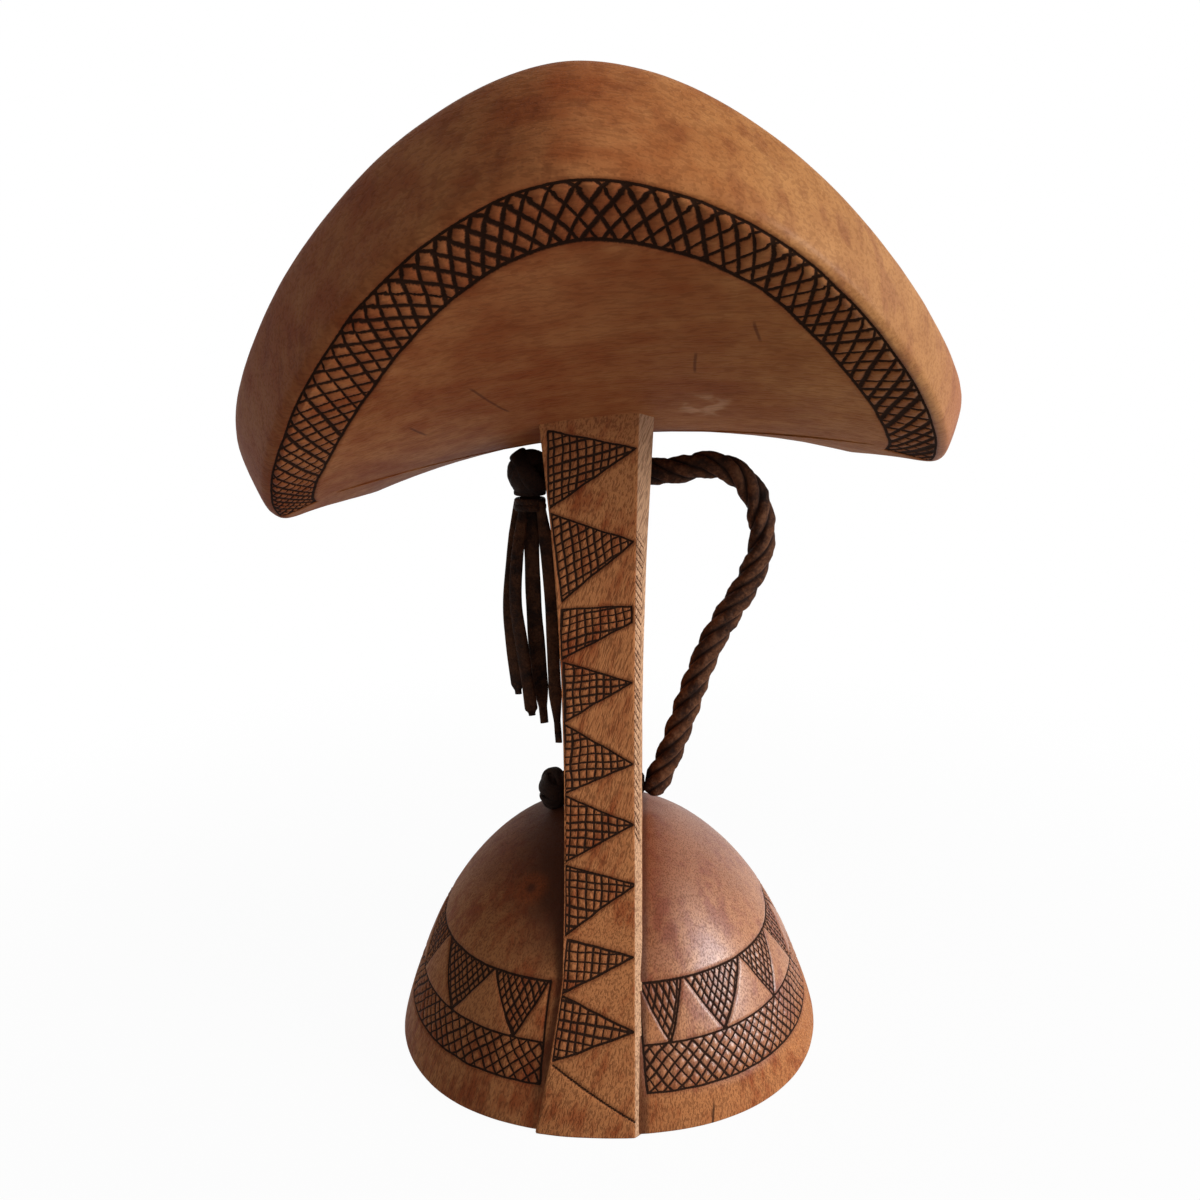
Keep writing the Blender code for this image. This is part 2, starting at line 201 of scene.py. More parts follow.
# Each thong tail: its row along Y, its X points from the top down, and its Z points below the top
TAIL_ROUTES = (
    (1, (-0.0174, -0.0186, -0.0195, -0.0193, -0.0183), (0.0975, 0.0890, 0.0790, 0.0685)),
    (-1, (-0.0159, -0.0174, -0.0179, -0.0167, -0.0152), (0.0975, 0.0885, 0.0780, 0.0648)),
    (1, (-0.0145, -0.0147, -0.0145, -0.0137, -0.0130), (0.0990, 0.0850, 0.0720, 0.0622)),
    (-1, (-0.0122, -0.0114, -0.0107, -0.0104, -0.0098), (0.1000, 0.0880, 0.0720, 0.0589)),
)
# Width of each tail, and the share of its length in which it comes to its end
TAIL_LOOKS = (
    (0.0028, 0.05),
    (0.0026, 0.03),
    (0.0033, 0.16),
    (0.0027, 0.2),
)


def length(name, default, description):
    """A size in metres."""
    return FloatProperty(name=name, description=description, default=default, unit="LENGTH", precision=5)


def number(name, default, description):
    """A plain number."""
    return FloatProperty(name=name, description=description, default=default, precision=3)


def angle(name, default, description):
    """An angle in radians."""
    return FloatProperty(name=name, description=description, default=default, subtype="ANGLE")


def colour(name, default, description):
    """A colour in linear light."""
    return FloatVectorProperty(
        name=name, description=description, default=default, subtype="COLOR", min=0, max=1
    )


class HeadrestWood(PropertyGroup):
    """Sizes and colours of the carved block."""

    base_radius: length("Base radius", 0.0441, "Radius of the dome on the ground")
    base_spread: length("Base spread", 0.0014, "How far the dome spreads at the ground")
    base_spread_height: length("Base spread height", 0.0145, "Where that spread ends")
    base_plan_power: number("Base plan power", 2.25, "How square the dome's plan is, 2 for a circle")
    dome_height: length("Dome height", 0.0459, "Height of the dome's top")
    dome_height_power: number("Dome height power", 1.56, "How late the dome's side leans in")
    dome_radius_power: number("Dome radius power", 0.50, "How round the dome's top is")
    dome_lean: length("Dome lean", 0.0008, "How far the dome's top leans to the left")
    post_left: length("Post left", 0.00735, "From the middle to the blade's left face")
    post_right: length("Post right", 0.0076, "From the middle to the blade's right face")
    post_chamfer: length("Post chamfer", 0.0015, "Cut along the blade's right edges")
    post_waist_height: length("Post waist height", 0.078, "Where the blade is least deep")
    post_waist_depth: length("Post waist depth", 0.019, "Half of the blade's least depth")
    post_foot_depth: length("Post foot depth", 0.040, "Half of the blade's depth at the ground")
    post_foot_power: number("Post foot power", 1.7, "How late the blade spreads downwards")
    post_proud: length("Post proud", 0.0004, "How far the blade stands out of the dome")
    post_blend: length("Post blend", 0.002, "Softness of the blade's bend at the dome")
    post_head_depth: length("Post head depth", 0.027, "Half of the blade's depth at the pillow")
    post_head_flare: length("Post head flare", 0.0023, "How far each face widens to the pillow")
    post_flare_start: length("Post flare start", 0.050, "Where the faces begin to widen")
    post_foot_flare: length("Post foot flare", 0.0046, "How far the left face spreads at the foot")
    post_foot_flare_height: length("Post foot flare height", 0.025, "Where that spread ends")
    post_foot_round_height: length("Post foot round", 0.030, "Up to where the foot is rounded")
    post_into_pillow: length("Post into pillow", 0.006, "How far the blade runs into the pillow")
    seat_height: length("Seat height", 0.1222, "Middle of the pillow's underside")
    seat_end_lift: length("Seat end lift", 0.0317, "Rise of the pillow's two ends")
    seat_left_droop: length("Seat left droop", 0.0120, "Fall of the left side")
    seat_right_droop: length("Seat right droop", 0.0119, "Fall of the right side")
    seat_lean: angle("Seat lean", math.radians(4.45), "Lean of the pillow to the left")
    pillow_left: length("Pillow left", 0.0577, "From the middle to the left side")
    pillow_right: length("Pillow right", 0.0594, "From the middle to the right side")
    pillow_half_length: length("Pillow half length", 0.0810, "From the middle to each end")
    pillow_corner: length("Pillow corner", 0.0193, "Where the round end begins")
    pillow_waist: length("Pillow waist", 0.0105, "Hollow of each long side")
    pillow_waist_power: number("Pillow waist power", 1.4, "How softly that hollow begins")
    pillow_end_power: number("Pillow end power", 1.14, "How pointed the round ends are")
    pillow_middle_thick: length("Pillow middle", 0.0140, "Thickness in the middle")
    pillow_tip_thick: length("Pillow tip", 0.0224, "Thickness at the ends")
    pillow_left_thick: length("Pillow left edge", 0.0152, "Thickness along the left side")
    pillow_right_thick: length("Pillow right edge", 0.0115, "Thickness along the right side")
    pillow_left_thin: number("Left thinning", 1.57, "How fast the rim thins to the left")
    pillow_right_thin: number("Right thinning", 4.3, "How fast the rim thins to the right")
    rim_bulge: length("Rim bulge", 0.0010, "Swell of the rim")
    rim_top_round: length("Rim top round", 0.0030, "Rounding of the rim's upper edge")
    rim_low_round: length("Rim low round", 0.0015, "Rounding of the rim's lower edge")
    hole_clearance: length("Hole clearance", 0.0004, "Room round the rope in its holes")
    cut_depth: length("Cut depth", 0.00028, "Depth of the carved lines")
    hand_waver: length("Hand waver", 0.00022, "Unevenness that the carver's knife left")
    tan: colour("Tan wood", (0.475, 0.183, 0.066), "Lightest wood")
    brown: colour("Brown wood", (0.285, 0.068, 0.020), "Most of the wood")
    # Red-brown wood is also painted shade: on the pillow's left side, at the post's top under the pillow, and
    # beside the cuts
    red_brown: colour("Red-brown wood", (0.155, 0.032, 0.012), "Wood that is dark from handling")
    # Golden wood is painted light, laid on the pillow's right side where the lamp falls
    golden: colour("Golden wood", (0.335, 0.185, 0.055), "Wood that is yellowed by light")
    # Rubbed wood also paints light on the post's chamfers and right face, where they face the lamp
    rubbed: colour("Rubbed wood", (0.62, 0.36, 0.21), "Edges and scuffs that are rubbed pale")
    # Stained wood is also painted shade, laid in the corners where the dome meets the blade
    stain_and_shade: colour("Stained wood", (0.055, 0.017, 0.009), "Dirt in the corners beside the blade")
    pore: colour("Pores", (0.085, 0.024, 0.009), "Pores and streaks of the grain")
    burnt: colour("Burnt cuts", (0.0105, 0.0055, 0.0038), "Bottom of the carved lines")


class HeadrestLeather(PropertyGroup):
    """Sizes and colours of the strap, its knots and the tassel."""

    seat_gap: length("Seat gap", 0.0003, "Gap between pieces that touch")
    rope_radius: length("Rope radius", 0.00275, "Radius of the twisted strap")
    rope_lay: length("Rope lay", 0.0212, "Length of one turn of the strap's twist")
    rope_inside: length("Rope inside", 0.0065, "How far the strap's upper end runs into its hole")
    rope_end_proud: length("Rope end proud", 0.0004, "How far the rope stands out of the post")
    rope_lower_set: length("Rope lower set", 0.0007, "How far the strap's lower end is set to the post")
    upper_hole_height: length("Upper hole", 0.1148, "Height of the upper strap hole")
    lower_hole_height: length("Lower hole", 0.0494, "Height of the lower strap hole")
    upper_knot_radius: length("Upper knot", 0.0051, "Radius of the upper stopper knot")
    lower_knot_radius: length("Lower knot", 0.0039, "Radius of the lower stopper knot")
    binding_radius: length("Binding", 0.0076, "Reach of the tassel's binding from the knot")
    tail_radius: length("Tail radius", 0.00125, "Radius of the room for each tail")
    tail_row: length("Tail row", 0.0015, "Distance of the tails' two rows from the middle")
    tail_bend_low: length("Tail bend", 0.072, "Height down to which a lifted tail bends")
    thong_thick: length("Thong thickness", 0.0014, "Thickness of a thong")
    # Dark leather is also painted shade, in the rope's creases, in the knots' cores and over the knots, which
    # sit in shadow
    dark: colour("Dark leather", (0.0125, 0.0060, 0.0044), "Creases and handled leather")
    brown: colour("Brown leather", (0.066, 0.025, 0.0125), "Most of the leather")
    worn: colour("Worn leather", (0.22, 0.092, 0.042), "Rubbed edges and nap")


class HeadrestStage(PropertyGroup):
    """Camera, lamps and floor."""

    camera_place: FloatVectorProperty(
        name="Camera place",
        description="Where the camera stands",
        default=(0.00821, -0.20288, 0.13035),
        subtype="TRANSLATION",
        unit="LENGTH",
    )
    camera_yaw: angle("Camera yaw", 0.04476, "Turn of the camera to the left")
    camera_pitch: angle("Camera pitch", 0.20172, "Tilt of the camera downwards")
    camera_roll: angle("Camera roll", 0.01357, "Roll of the camera")
    camera_lens: number("Camera lens", 30.555, "Focal length in millimetres on a 36 mm sensor")
    key_power: FloatProperty(name="Key power", description="Main lamp", default=7.5, unit="POWER")
    fill_power: FloatProperty(name="Fill power", description="Lamp in front", default=0.4, unit="POWER")
    sky_strength: number("Sky strength", 0.18, "Light from all round")
    floor_shade: number("Floor shade", 0.6, "Grey of the floor")
    floor_size: length("Floor size", 6.0, "Side of the square floor")


# Shapes


class Shape:
    """Points and faces of a piece, gathered from grids of rings."""

    def __init__(self):
        self.points = []
        self.faces = []
        self.marks = []
        self.count = 0

    def add(self, rings, marks=None, start=None, end=None, closed=False):
        """Skins rings of as many points each, with a point at an open end, or joins the last to the first."""
        rings = np.asarray(rings, float)
        ring_count, side_count = rings.shape[:2]
        rows = ring_count if closed else ring_count - 1
        low = self.count + np.arange(rows)[:, None] * side_count
        high = self.count + (np.arange(1, rows + 1)[:, None] % ring_count) * side_count
        here = np.arange(side_count)[None, :]
        there = (here + 1) % side_count
        quads = np.stack((low + here, low + there, high + there, high + here), axis=-1)
        self.faces += quads.reshape(-1, 4).tolist()
        self.points += rings.reshape(-1, 3).tolist()
        values = np.zeros((ring_count, side_count)) if marks is None else np.asarray(marks, float)
        self.marks += np.broadcast_to(values, (ring_count, side_count)).ravel().tolist()
        first = self.count
        last = self.count + (ring_count - 1) * side_count
        self.count += ring_count * side_count
        for tip, ring, ahead in ((start, first, False), (end, last, True)):
            if tip is None:
                continue
            self.points.append(list(tip))
            self.marks.append(self.marks[ring])
            for side in range(side_count):
                pair = (ring + side, ring + (side + 1) % side_count)
                self.faces.append([self.count, *(pair if ahead else reversed(pair))])
            self.count += 1

    def mesh(self, name):
        """The smooth mesh, with its marks as an attribute."""
        mesh = bpy.data.meshes.new(name)
        mesh.from_pydata(self.points, [], self.faces)
        mesh.attributes.new("mark", "FLOAT", "POINT").data.foreach_set("value", self.marks)
        mesh.shade_smooth()
        mesh.update()
        return mesh


def quad_corners(rings):
    """Row and column of each quad's first corner, and points, columns and rows of its four corners."""
    ring_count, side_count = rings.shape[:2]
    row = np.arange(ring_count - 1)[:, None, None]
    column = np.arange(side_count)[None, :, None]
    columns = column + np.array((0, 1, 1, 0)) + 0 * row
    rows = row + np.array((0, 0, 1, 1)) + 0 * column
    return row, column, rings[rows, columns % side_count] / MM, columns, rows


def fan_corners(ring, tip, ahead):
    """Points of the triangles between a ring and a tip, in the order of Shape.add."""
    pair = (ring, np.roll(ring, -1, axis=0))
    first, second = pair if ahead else reversed(pair)
    return np.stack((np.broadcast_to(tip, ring.shape), first, second), axis=1) / MM


def lay_flat(mesh, sheet, *parts):
    """Keeps where face corners lie on a flat sheet, in millimetres, for the baked picture of the finish."""
    spots = np.concatenate([part.reshape(-1, 2) for part in parts])
    mesh.uv_layers.new(name="OFBake").data.foreach_set("uv", (spots / sheet).ravel())


def add_piece(name, mesh, finish):
    """Puts a mesh with its finish in the scene."""
    piece = bpy.data.objects.new(name, mesh)
    bpy.context.scene.collection.objects.link(piece)
    mesh.materials.append(finish)
    return piece


def mesh_points(mesh):
    """A mesh's points as an array."""
    points = np.empty(len(mesh.vertices) * 3, np.float32)
    mesh.vertices.foreach_get("co", points)
    return points.reshape(-1, 3).astype(float)


def mesh_normals(mesh):
    """A mesh's smooth normals as an array."""
    normals = np.empty(len(mesh.vertices) * 3, np.float32)
    mesh.vertex_normals.foreach_get("vector", normals)
    return normals.reshape(-1, 3).astype(float)


def ripple(points, size, seed):
    """Smooth noise from 0 to 1 at points, with lumps about a size across."""
    offset = Vector((seed * 3.7, seed * 1.9, seed * 5.3))
    return np.array([0.5 + 0.5 * noise.noise(Vector(point) / size + offset) for point in points])


def unit(vectors):
    """Vectors of length one."""
    return vectors / np.maximum(np.linalg.norm(vectors, axis=-1, keepdims=True), 1e-12)


def travelled(points):
    """Distance along a line of points."""
    steps = np.linalg.norm(np.diff(points, axis=0), axis=1)
    return np.concatenate(([0.0], np.cumsum(steps)))


def evenly(points, count):
    """A line of points drawn again with as many points at even distances."""
    along = travelled(points)
    places = np.linspace(0, along[-1], count)
    return np.stack([np.interp(places, along, points[:, axis]) for axis in range(points.shape[1])], axis=1)


def smooth_line(route, count):
    """A Catmull-Rom curve through a route, as points at even distances."""
    route = np.asarray(route, float)
    padded = np.vstack((2 * route[0] - route[1], route, 2 * route[-1] - route[-2]))
    share = np.linspace(0, 1, 24, endpoint=False)[:, None]
    pieces = []
    for before, here, there, beyond in zip(padded, padded[1:], padded[2:], padded[3:]):
        bend = (2 * before - 5 * here + 4 * there - beyond) * share**2
        twist = (3 * here - before - 3 * there + beyond) * share**3
        pieces.append(0.5 * (2 * here + (there - before) * share + bend + twist))
    return evenly(np.vstack((*pieces, route[-1:])), count)


def sweep(path, outward, sections, closed=False):
    """Rings along a path. Each section's points lie across the path and outward from it."""
    if closed:
        ahead = unit(np.roll(path, -1, axis=0) - np.roll(path, 1, axis=0))
    else:
        ahead = unit(np.gradient(path, axis=0))
    outward = unit(outward - ahead * np.sum(outward * ahead, axis=1, keepdims=True))
    across = np.cross(ahead, outward)
    return (
        path[:, None, :]
        + across[:, None, :] * sections[..., 0:1]
        + outward[:, None, :] * sections[..., 1:2]
    )


# Carved lines


class Pattern:
    """How far each point of a wood piece is from the carver's cuts, in millimetres.

    edge is below 0 inside a hatched patch and 0 on its outline, first and second pass 0 on the
    patch's two sets of cuts, and single is the distance from cuts that stand alone.
    """

    def __init__(self, count, seed):
        self.hand = random.Random(seed)
        self.edge = np.full(count, FAR)
        self.first = np.full(count, FAR)
        self.second = np.full(count, FAR)
        self.single = np.full(count, FAR)
        self.spots = []

    def waver(self, spots, size, reach):
        """Smooth unevenness of the hand at spots of a flat pattern."""
        level = self.hand.uniform(0, 90)
        return reach * np.array([noise.noise(Vector((x / size, y / size, level))) for x, y in spots])

    def ruled(self, places, spacing, uneven=0.13):
        """Distance of places from cuts about a spacing apart, changing sign at each cut."""
        marks = [places.min() - spacing * self.hand.uniform(0.2, 0.8)]
        while marks[-1] < places.max() + spacing:
            marks.append(marks[-1] + spacing * self.hand.uniform(1 - uneven, 1 + uneven))
        widths = np.array([self.hand.uniform(*CUT_WIDTHS) for _ in marks])
        phase = np.interp(places, marks, np.arange(len(marks)))
        gaps = np.diff(marks)[np.minimum(phase.astype(int), len(marks) - 2)]
        return np.sin(math.pi * phase) / math.pi * gaps / widths[np.round(phase).astype(int)]

    def lay(self, index, edge, first, second):
        """Keeps a patch's distances where no patch laid before is nearer."""
        nearer = edge < self.edge[index]
        chosen = index[nearer]
        self.edge[chosen] = edge[nearer]
        self.first[chosen] = first[nearer]
        self.second[chosen] = second[nearer]

    def patch(self, index, spots, corners, slopes, spacing):
        """A convex patch with two sets of cuts at slopes in degrees, laid on points at flat spots."""
        corners = np.array(corners, float)
        near = np.all((spots > corners.min(0) - 2) & (spots < corners.max(0) + 2), axis=1)
        index = index[near]
        spots = spots[near]
        if not len(index):
            return
        turned = np.roll(corners, -1, axis=0) - corners
        sides = np.stack((turned[:, 1], -turned[:, 0]), axis=1)
        sides /= np.linalg.norm(sides, axis=1, keepdims=True)
        middle = corners.mean(0)
        sides *= np.sign(np.sum((corners - middle) * sides, axis=1))[:, None]
        edge = np.max([(spots - corner) @ side for corner, side in zip(corners, sides)], axis=0)
        edge += self.waver(spots, 3.0, 0.16)
        sets = []
        for slope in slopes:
            aside = np.array((-math.sin(math.radians(slope)), math.cos(math.radians(slope))))
            places = spots @ aside + self.waver(spots, 4.5, 0.4) + self.waver(spots, 1.6, 0.1)
            sets.append(self.ruled(places, spacing))
        self.lay(index, edge, *sets)

    def line(self, surface, start, end, past=0.3):
        """A single cut between two flat spots of a surface, by a hand that bows and runs past a little."""
        start = np.array(start, float)
        end = np.array(end, float)
        ahead = (end - start) / np.linalg.norm(end - start)
        start = start - ahead * self.hand.uniform(0, past)
        end = end + ahead * self.hand.uniform(0, past)
        span = np.linalg.norm(end - start)
        share = np.linspace(0, 1, max(3, int(span / 0.08)))
        aside = np.array((-ahead[1], ahead[0]))
        bow = self.hand.uniform(-0.012, 0.012) * span
        spots = start + share[:, None] * (end - start) + bow * np.sin(math.pi * share)[:, None] * aside
        self.spots += [Vector(point) for point in surface(spots[:, 0], spots[:, 1])]

    def measure_singles(self, points):
        """Finds the distance of a piece's points from its single cuts."""
        tree = KDTree(len(self.spots))
        for index, spot in enumerate(self.spots):
            tree.insert(spot, index)
        tree.balance()
        away = np.array([tree.find(point)[2] for point in points]) / MM
        self.single = np.minimum(away, FAR)

    def depth(self):
        """How deep the cuts are at each point, from 0 to 1."""
        hatch = np.minimum(np.abs(self.first), np.abs(self.second))
        hatch = np.where(self.edge < CUT_OVERRUN, hatch, FAR)
        near = np.minimum(np.minimum(hatch, np.abs(self.edge)), self.single)
        return np.clip(1 - (near / CUT_HALF_WIDTH) ** 2, 0, 1)


def carve(mesh, wood, pattern, seed):
    """Sinks the cuts and an uneven hand finish into a wood mesh and stores the distances from the cuts."""
    points = mesh_points(mesh)
    normals = mesh_normals(mesh)
    if pattern.spots:
        pattern.measure_singles(points)
    uneven = 0.7 * ripple(points, 0.011, seed) + 0.3 * ripple(points, 0.004, seed + 1)
    points -= normals * (wood.cut_depth * pattern.depth() + wood.hand_waver * uneven)[:, None]
    points[:, 2] = np.maximum(points[:, 2], 0.0)
    mesh.vertices.foreach_set("co", points.ravel())
    for name in ("edge", "first", "second", "single"):
        values = getattr(pattern, name)
        mesh.attributes.new("cut_" + name, "FLOAT", "POINT").data.foreach_set("value", values)
    mesh.update()


# Wood shapes, which repeat the CAD's


def dome_radius(wood, height):
    """The dome's radius at heights."""
    share = 1 - np.clip(height / wood.dome_height, 0, 1) ** wood.dome_height_power
    spread = wood.base_spread * np.clip(1 - height / wood.base_spread_height, 0, 1) ** 2
    return (wood.base_radius - wood.base_spread) * np.clip(share, 0, 1) ** wood.dome_radius_power + spread


def post_depth(wood, height):
    """Half of the blade's depth along Y at heights."""
    below = np.clip(wood.post_waist_height - height, 0, None) / wood.post_waist_height
    spread = wood.post_foot_depth - wood.post_waist_depth
    edge = wood.post_waist_depth + spread * below**wood.post_foot_power
    over = dome_radius(wood, height) + wood.post_proud - edge
    low = edge + (over + np.hypot(over, wood.post_blend)) / 2
    above = (height - wood.post_waist_height) / (wood.seat_height - wood.post_waist_height)
    high = wood.post_waist_depth + (wood.post_head_depth - wood.post_waist_depth) * above**2
    return np.where(height < wood.post_waist_height, low, high)


def head_flare(wood, height):
    """How far the blade widens to each side towards the pillow."""
    share = np.clip(height - wood.post_flare_start, 0, None) / (wood.seat_height - wood.post_flare_start)
    return wood.post_head_flare * share**2


def post_left(wood, height):
    """Distance from the middle to the blade's left face."""
    foot = np.clip(1 - height / wood.post_foot_flare_height, 0, None) ** 1.2
    return wood.post_left + head_flare(wood, height) + wood.post_foot_flare * foot


def post_right(wood, height):
    """Distance from the middle to the blade's right face."""
    return wood.post_right + head_flare(wood, height)


def seat_bends(wood, x):
    """How fast the pillow's underside bends down along X and up along Y."""
    left = wood.seat_left_droop / wood.pillow_left**2
    right = wood.seat_right_droop / wood.pillow_right**2
    return np.where(x < 0, left, right), wood.seat_end_lift / wood.pillow_half_length**2


def seat_points(wood, x, y):
    """Points of the pillow's underside."""
    down, lift = seat_bends(wood, x)
    z = wood.seat_height + lift * y * y - down * x * x + math.tan(wood.seat_lean) * x
    return np.stack((x, y, z), axis=-1)


def seat_normals(wood, x, y):
    """Upward directions square to the pillow's underside."""
    down, lift = seat_bends(wood, x)
    return unit(np.stack((2 * down * x - math.tan(wood.seat_lean), -2 * lift * y, np.ones_like(x)), axis=-1))


def pillow_end(wood, end, count, waisted=True):
    """X, Y and thickness round one end of the pillow, then along the side after it."""
    turn = end * math.pi * (0.5 - np.linspace(0, 1, count, endpoint=False))
    side = np.sin(turn)
    along = np.abs(np.cos(turn))
    width = np.where(side < 0, wood.pillow_left, wood.pillow_right)
    thick = np.where(side < 0, wood.pillow_left_thick, wood.pillow_right_thick)
    x = np.sign(side) * width * np.abs(side) ** wood.pillow_end_power
    reach = wood.pillow_half_length - wood.pillow_corner
    y = end * (wood.pillow_corner + reach * along**wood.pillow_end_power)
    thinning = np.where(side < 0, wood.pillow_left_thin, wood.pillow_right_thin)
    thick = thick + (wood.pillow_tip_thick - thick) * along**thinning
    turn = np.linspace(0, math.pi, count, endpoint=False)
    width = wood.pillow_right if end < 0 else wood.pillow_left
    edge_thick = wood.pillow_right_thick if end < 0 else wood.pillow_left_thick
    hollow = wood.pillow_waist * np.sin(turn) ** wood.pillow_waist_power if waisted else np.zeros(count)
    arc = np.stack((x, y, thick), axis=1)
    side_x = -end * (width - hollow)
    side_y = end * wood.pillow_corner * np.cos(turn)
    return arc, np.stack((side_x, side_y, np.full(count, edge_thick)), axis=1)


def dome_points(wood, turn, height):
    """Points of the dome at turns from the front and at heights."""
    power = wood.base_plan_power
    full = np.abs(np.sin(turn)) ** power + np.abs(np.cos(turn)) ** power
    radius = dome_radius(wood, height) * full ** (-1 / power)
    lean = wood.dome_lean * height / wood.dome_height
    return np.stack((radius * np.sin(turn) - lean, -radius * np.cos(turn), height + 0 * turn), axis=-1)


def make_base_pattern(wood, turns, heights):
    """Hatched triangles and a band of crossed cuts round the dome."""
    pattern = Pattern(turns.size + 2, seed=11)
    top_line, middle_line, low_line = 23.8, 14.4, 7.7
    middle_radius = float(dome_radius(wood, 19 * MM)) / MM
    lean = 1.16

    def surface(around, up):
        height = np.clip(up / lean * MM, 0, wood.dome_height)
        return dome_points(wood, around / middle_radius, height)

    def spot(degrees, height):
        return math.radians(degrees) * middle_radius, height * lean

    index = np.flatnonzero((heights.ravel() > 5 * MM) & (heights.ravel() < 27 * MM))
    spots = np.stack((turns.ravel()[index] * middle_radius, heights.ravel()[index] / MM * lean), axis=1)
    around = math.tau * middle_radius
    spots[:, 0] = (spots[:, 0] + around / 4) % around - around / 4
    back = [(180 - right, 180 - left, 180 - point) for left, right, point in DOME_TRIANGLES]
    for left, right, point in (*DOME_TRIANGLES, *back):
        corners = (spot(left, top_line), spot(right, top_line), spot(point, middle_line))
        slopes = [
            math.degrees(math.atan2(corners[2][1] - corner[1], corners[2][0] - corner[0]))
            for corner in corners[:2]
        ]
        pattern.patch(index, spots, corners, slopes, 1.3)
    left_line, right_line = DOME_POST_LINES
    arcs = (
        (left_line - 90, left_line, low_line),
        (right_line, 180 - right_line, low_line - 0.9),
        (180 - left_line, 270, low_line),
    )
    for first, last, bottom in arcs:
        corners = (
            spot(first, bottom),
            spot(last, bottom),
            spot(last, middle_line),
            spot(first, middle_line),
        )
        pattern.patch(index, spots, corners, (47, -60), 1.7)
        steps = np.linspace(first, last, 10)
        for start, end in zip(steps, steps[1:]):
            pattern.line(surface, spot(start, top_line), spot(end, top_line), 0.1)
    for edge in (left_line, right_line, 180 - right_line, 180 - left_line):
        pattern.line(surface, spot(edge, top_line), spot(edge, middle_line))
    return pattern


def make_base_mesh(wood):
    """The dome with close rings where it is carved, on a flat underside."""
    heights = wood.dome_height * np.sin(0.5 * math.pi * np.linspace(0, 1, 4000))
    along = travelled(np.stack((dome_radius(wood, heights), heights), axis=1))
    low = np.interp(6.6 * MM, heights, along)
    high = np.interp(25.0 * MM, heights, along)
    places = np.concatenate(
        (
            (0.0, 0.0002, 0.0005, 0.0009, 0.0015),
            np.linspace(0.0024, low, 6, endpoint=False),
            np.linspace(low, high, 58, endpoint=False),
            np.linspace(high, along[-1] * 0.985, 26),
        )
    )
    zs = np.interp(places, along, heights)
    turns = np.linspace(0, math.tau, 760, endpoint=False)
    rings = dome_points(wood, turns[None, :], zs[:, None])
    edge = np.clip(1 - places / 0.0008, 0, 1)
    inset = 1 - 0.0004 * (1 - np.sqrt(1 - edge**2)) / wood.base_radius
    rings[..., :2] *= inset[:, None, None]
    under = [rings[0] * share for share in BASE_UNDER_SHARES]
    rings = np.concatenate((under, rings))
    top = np.array((-wood.dome_lean, 0, wood.dome_height))
    shape = Shape()
    shape.add(rings, start=(0, 0, 0), end=top)
    mesh = shape.mesh("base")
    lay_base_flat(mesh, rings, np.concatenate((np.zeros(len(under)), places)) / MM, top)
    heights = np.broadcast_to(np.concatenate((np.full(len(under), -1.0), zs))[:, None], rings.shape[:2])
    turns = np.broadcast_to(turns, rings.shape[:2])
    return mesh, make_base_pattern(wood, turns, heights)


def lay_base_flat(mesh, rings, climb, top):
    """Lays the carved wall in four strips, and the top and the underside as smaller discs beside them."""
    row, column, points, columns, rows = quad_corners(rings)
    quarter = rings.shape[1] // 4
    strip = column // quarter
    across = 69.0 * (columns / quarter - strip) + 0.5
    wall = np.stack((across, 29.5 * strip + climb[rows] + 0.5), axis=-1)
    top_middle = np.array((95.0, 23.0))
    under_middle = np.array((95.0, 70.0))
    high = top_middle + 0.5 * points[..., :2]
    low = under_middle + 0.45 * points[..., :2]
    on_top = (climb[rows].max(axis=-1) > 28.8)[..., None, None]
    beneath = (row < len(BASE_UNDER_SHARES))[..., None]
    grid = np.where(beneath, low, np.where(on_top, high, wall))
    low_fan = under_middle + 0.45 * fan_corners(rings[0], (0, 0, 0), False)[..., :2]
    high_fan = top_middle + 0.5 * fan_corners(rings[-1], top, True)[..., :2]
    lay_flat(mesh, 119.0, grid, low_fan, high_fan)


def foot_round(wood, height, x):
    """How far the foot's corners are rounded back, like the dome's edge."""
    share = np.clip(1 - height / wood.post_foot_round_height, 0, None)
    power = wood.base_plan_power
    return share * (wood.base_radius - (wood.base_radius**power - np.abs(x) ** power) ** (1 / power))


def make_post_pattern(wood, rings, faces, chamfers):
    """Nine hatched triangles on the front and back of the blade, and nicks along its chamfers."""
    ring_count, side_count = rings.shape[:2]
    pattern = Pattern(ring_count * side_count + 2, seed=23)
    grid = np.arange(ring_count * side_count).reshape(ring_count, side_count)
    for face, columns in zip((-1, 1), faces):
        index = grid[:, columns].ravel()
        spots = rings[:, columns][..., (0, 2)].reshape(-1, 2) / MM
        for corners, slope in POST_TRIANGLES:
            low = corners[-1]
            high = corners[0]
            upright = math.degrees(math.atan2(high[1] - low[1], high[0] - low[0]))
            pattern.patch(index, spots, corners, (upright, slope), 1.45)

        def surface(across, up, face=face):
            x = across * MM
            height = np.clip(up * MM, 0, None)
            depth = post_depth(wood, height) - foot_round(wood, height, x)
            return np.stack((x, face * depth, height), axis=1)

        pattern.line(surface, *POST_LAST_CUT)
    for columns in chamfers:
        share = np.linspace(0, 1, len(columns))
        places = (rings[:, columns, 2] / MM + NICK_FALL * share).ravel()
        nicked = (places > NICK_HEIGHTS[0]) & (places < NICK_HEIGHTS[1])
        places = places[nicked]
        cuts = NICK_THINNESS * pattern.ruled(places, NICK_SPACING, uneven=0.3)
        inside = np.full(len(places), -1.0)
        pattern.lay(grid[:, columns].ravel()[nicked], inside, cuts, np.full(len(places), FAR))
    return pattern


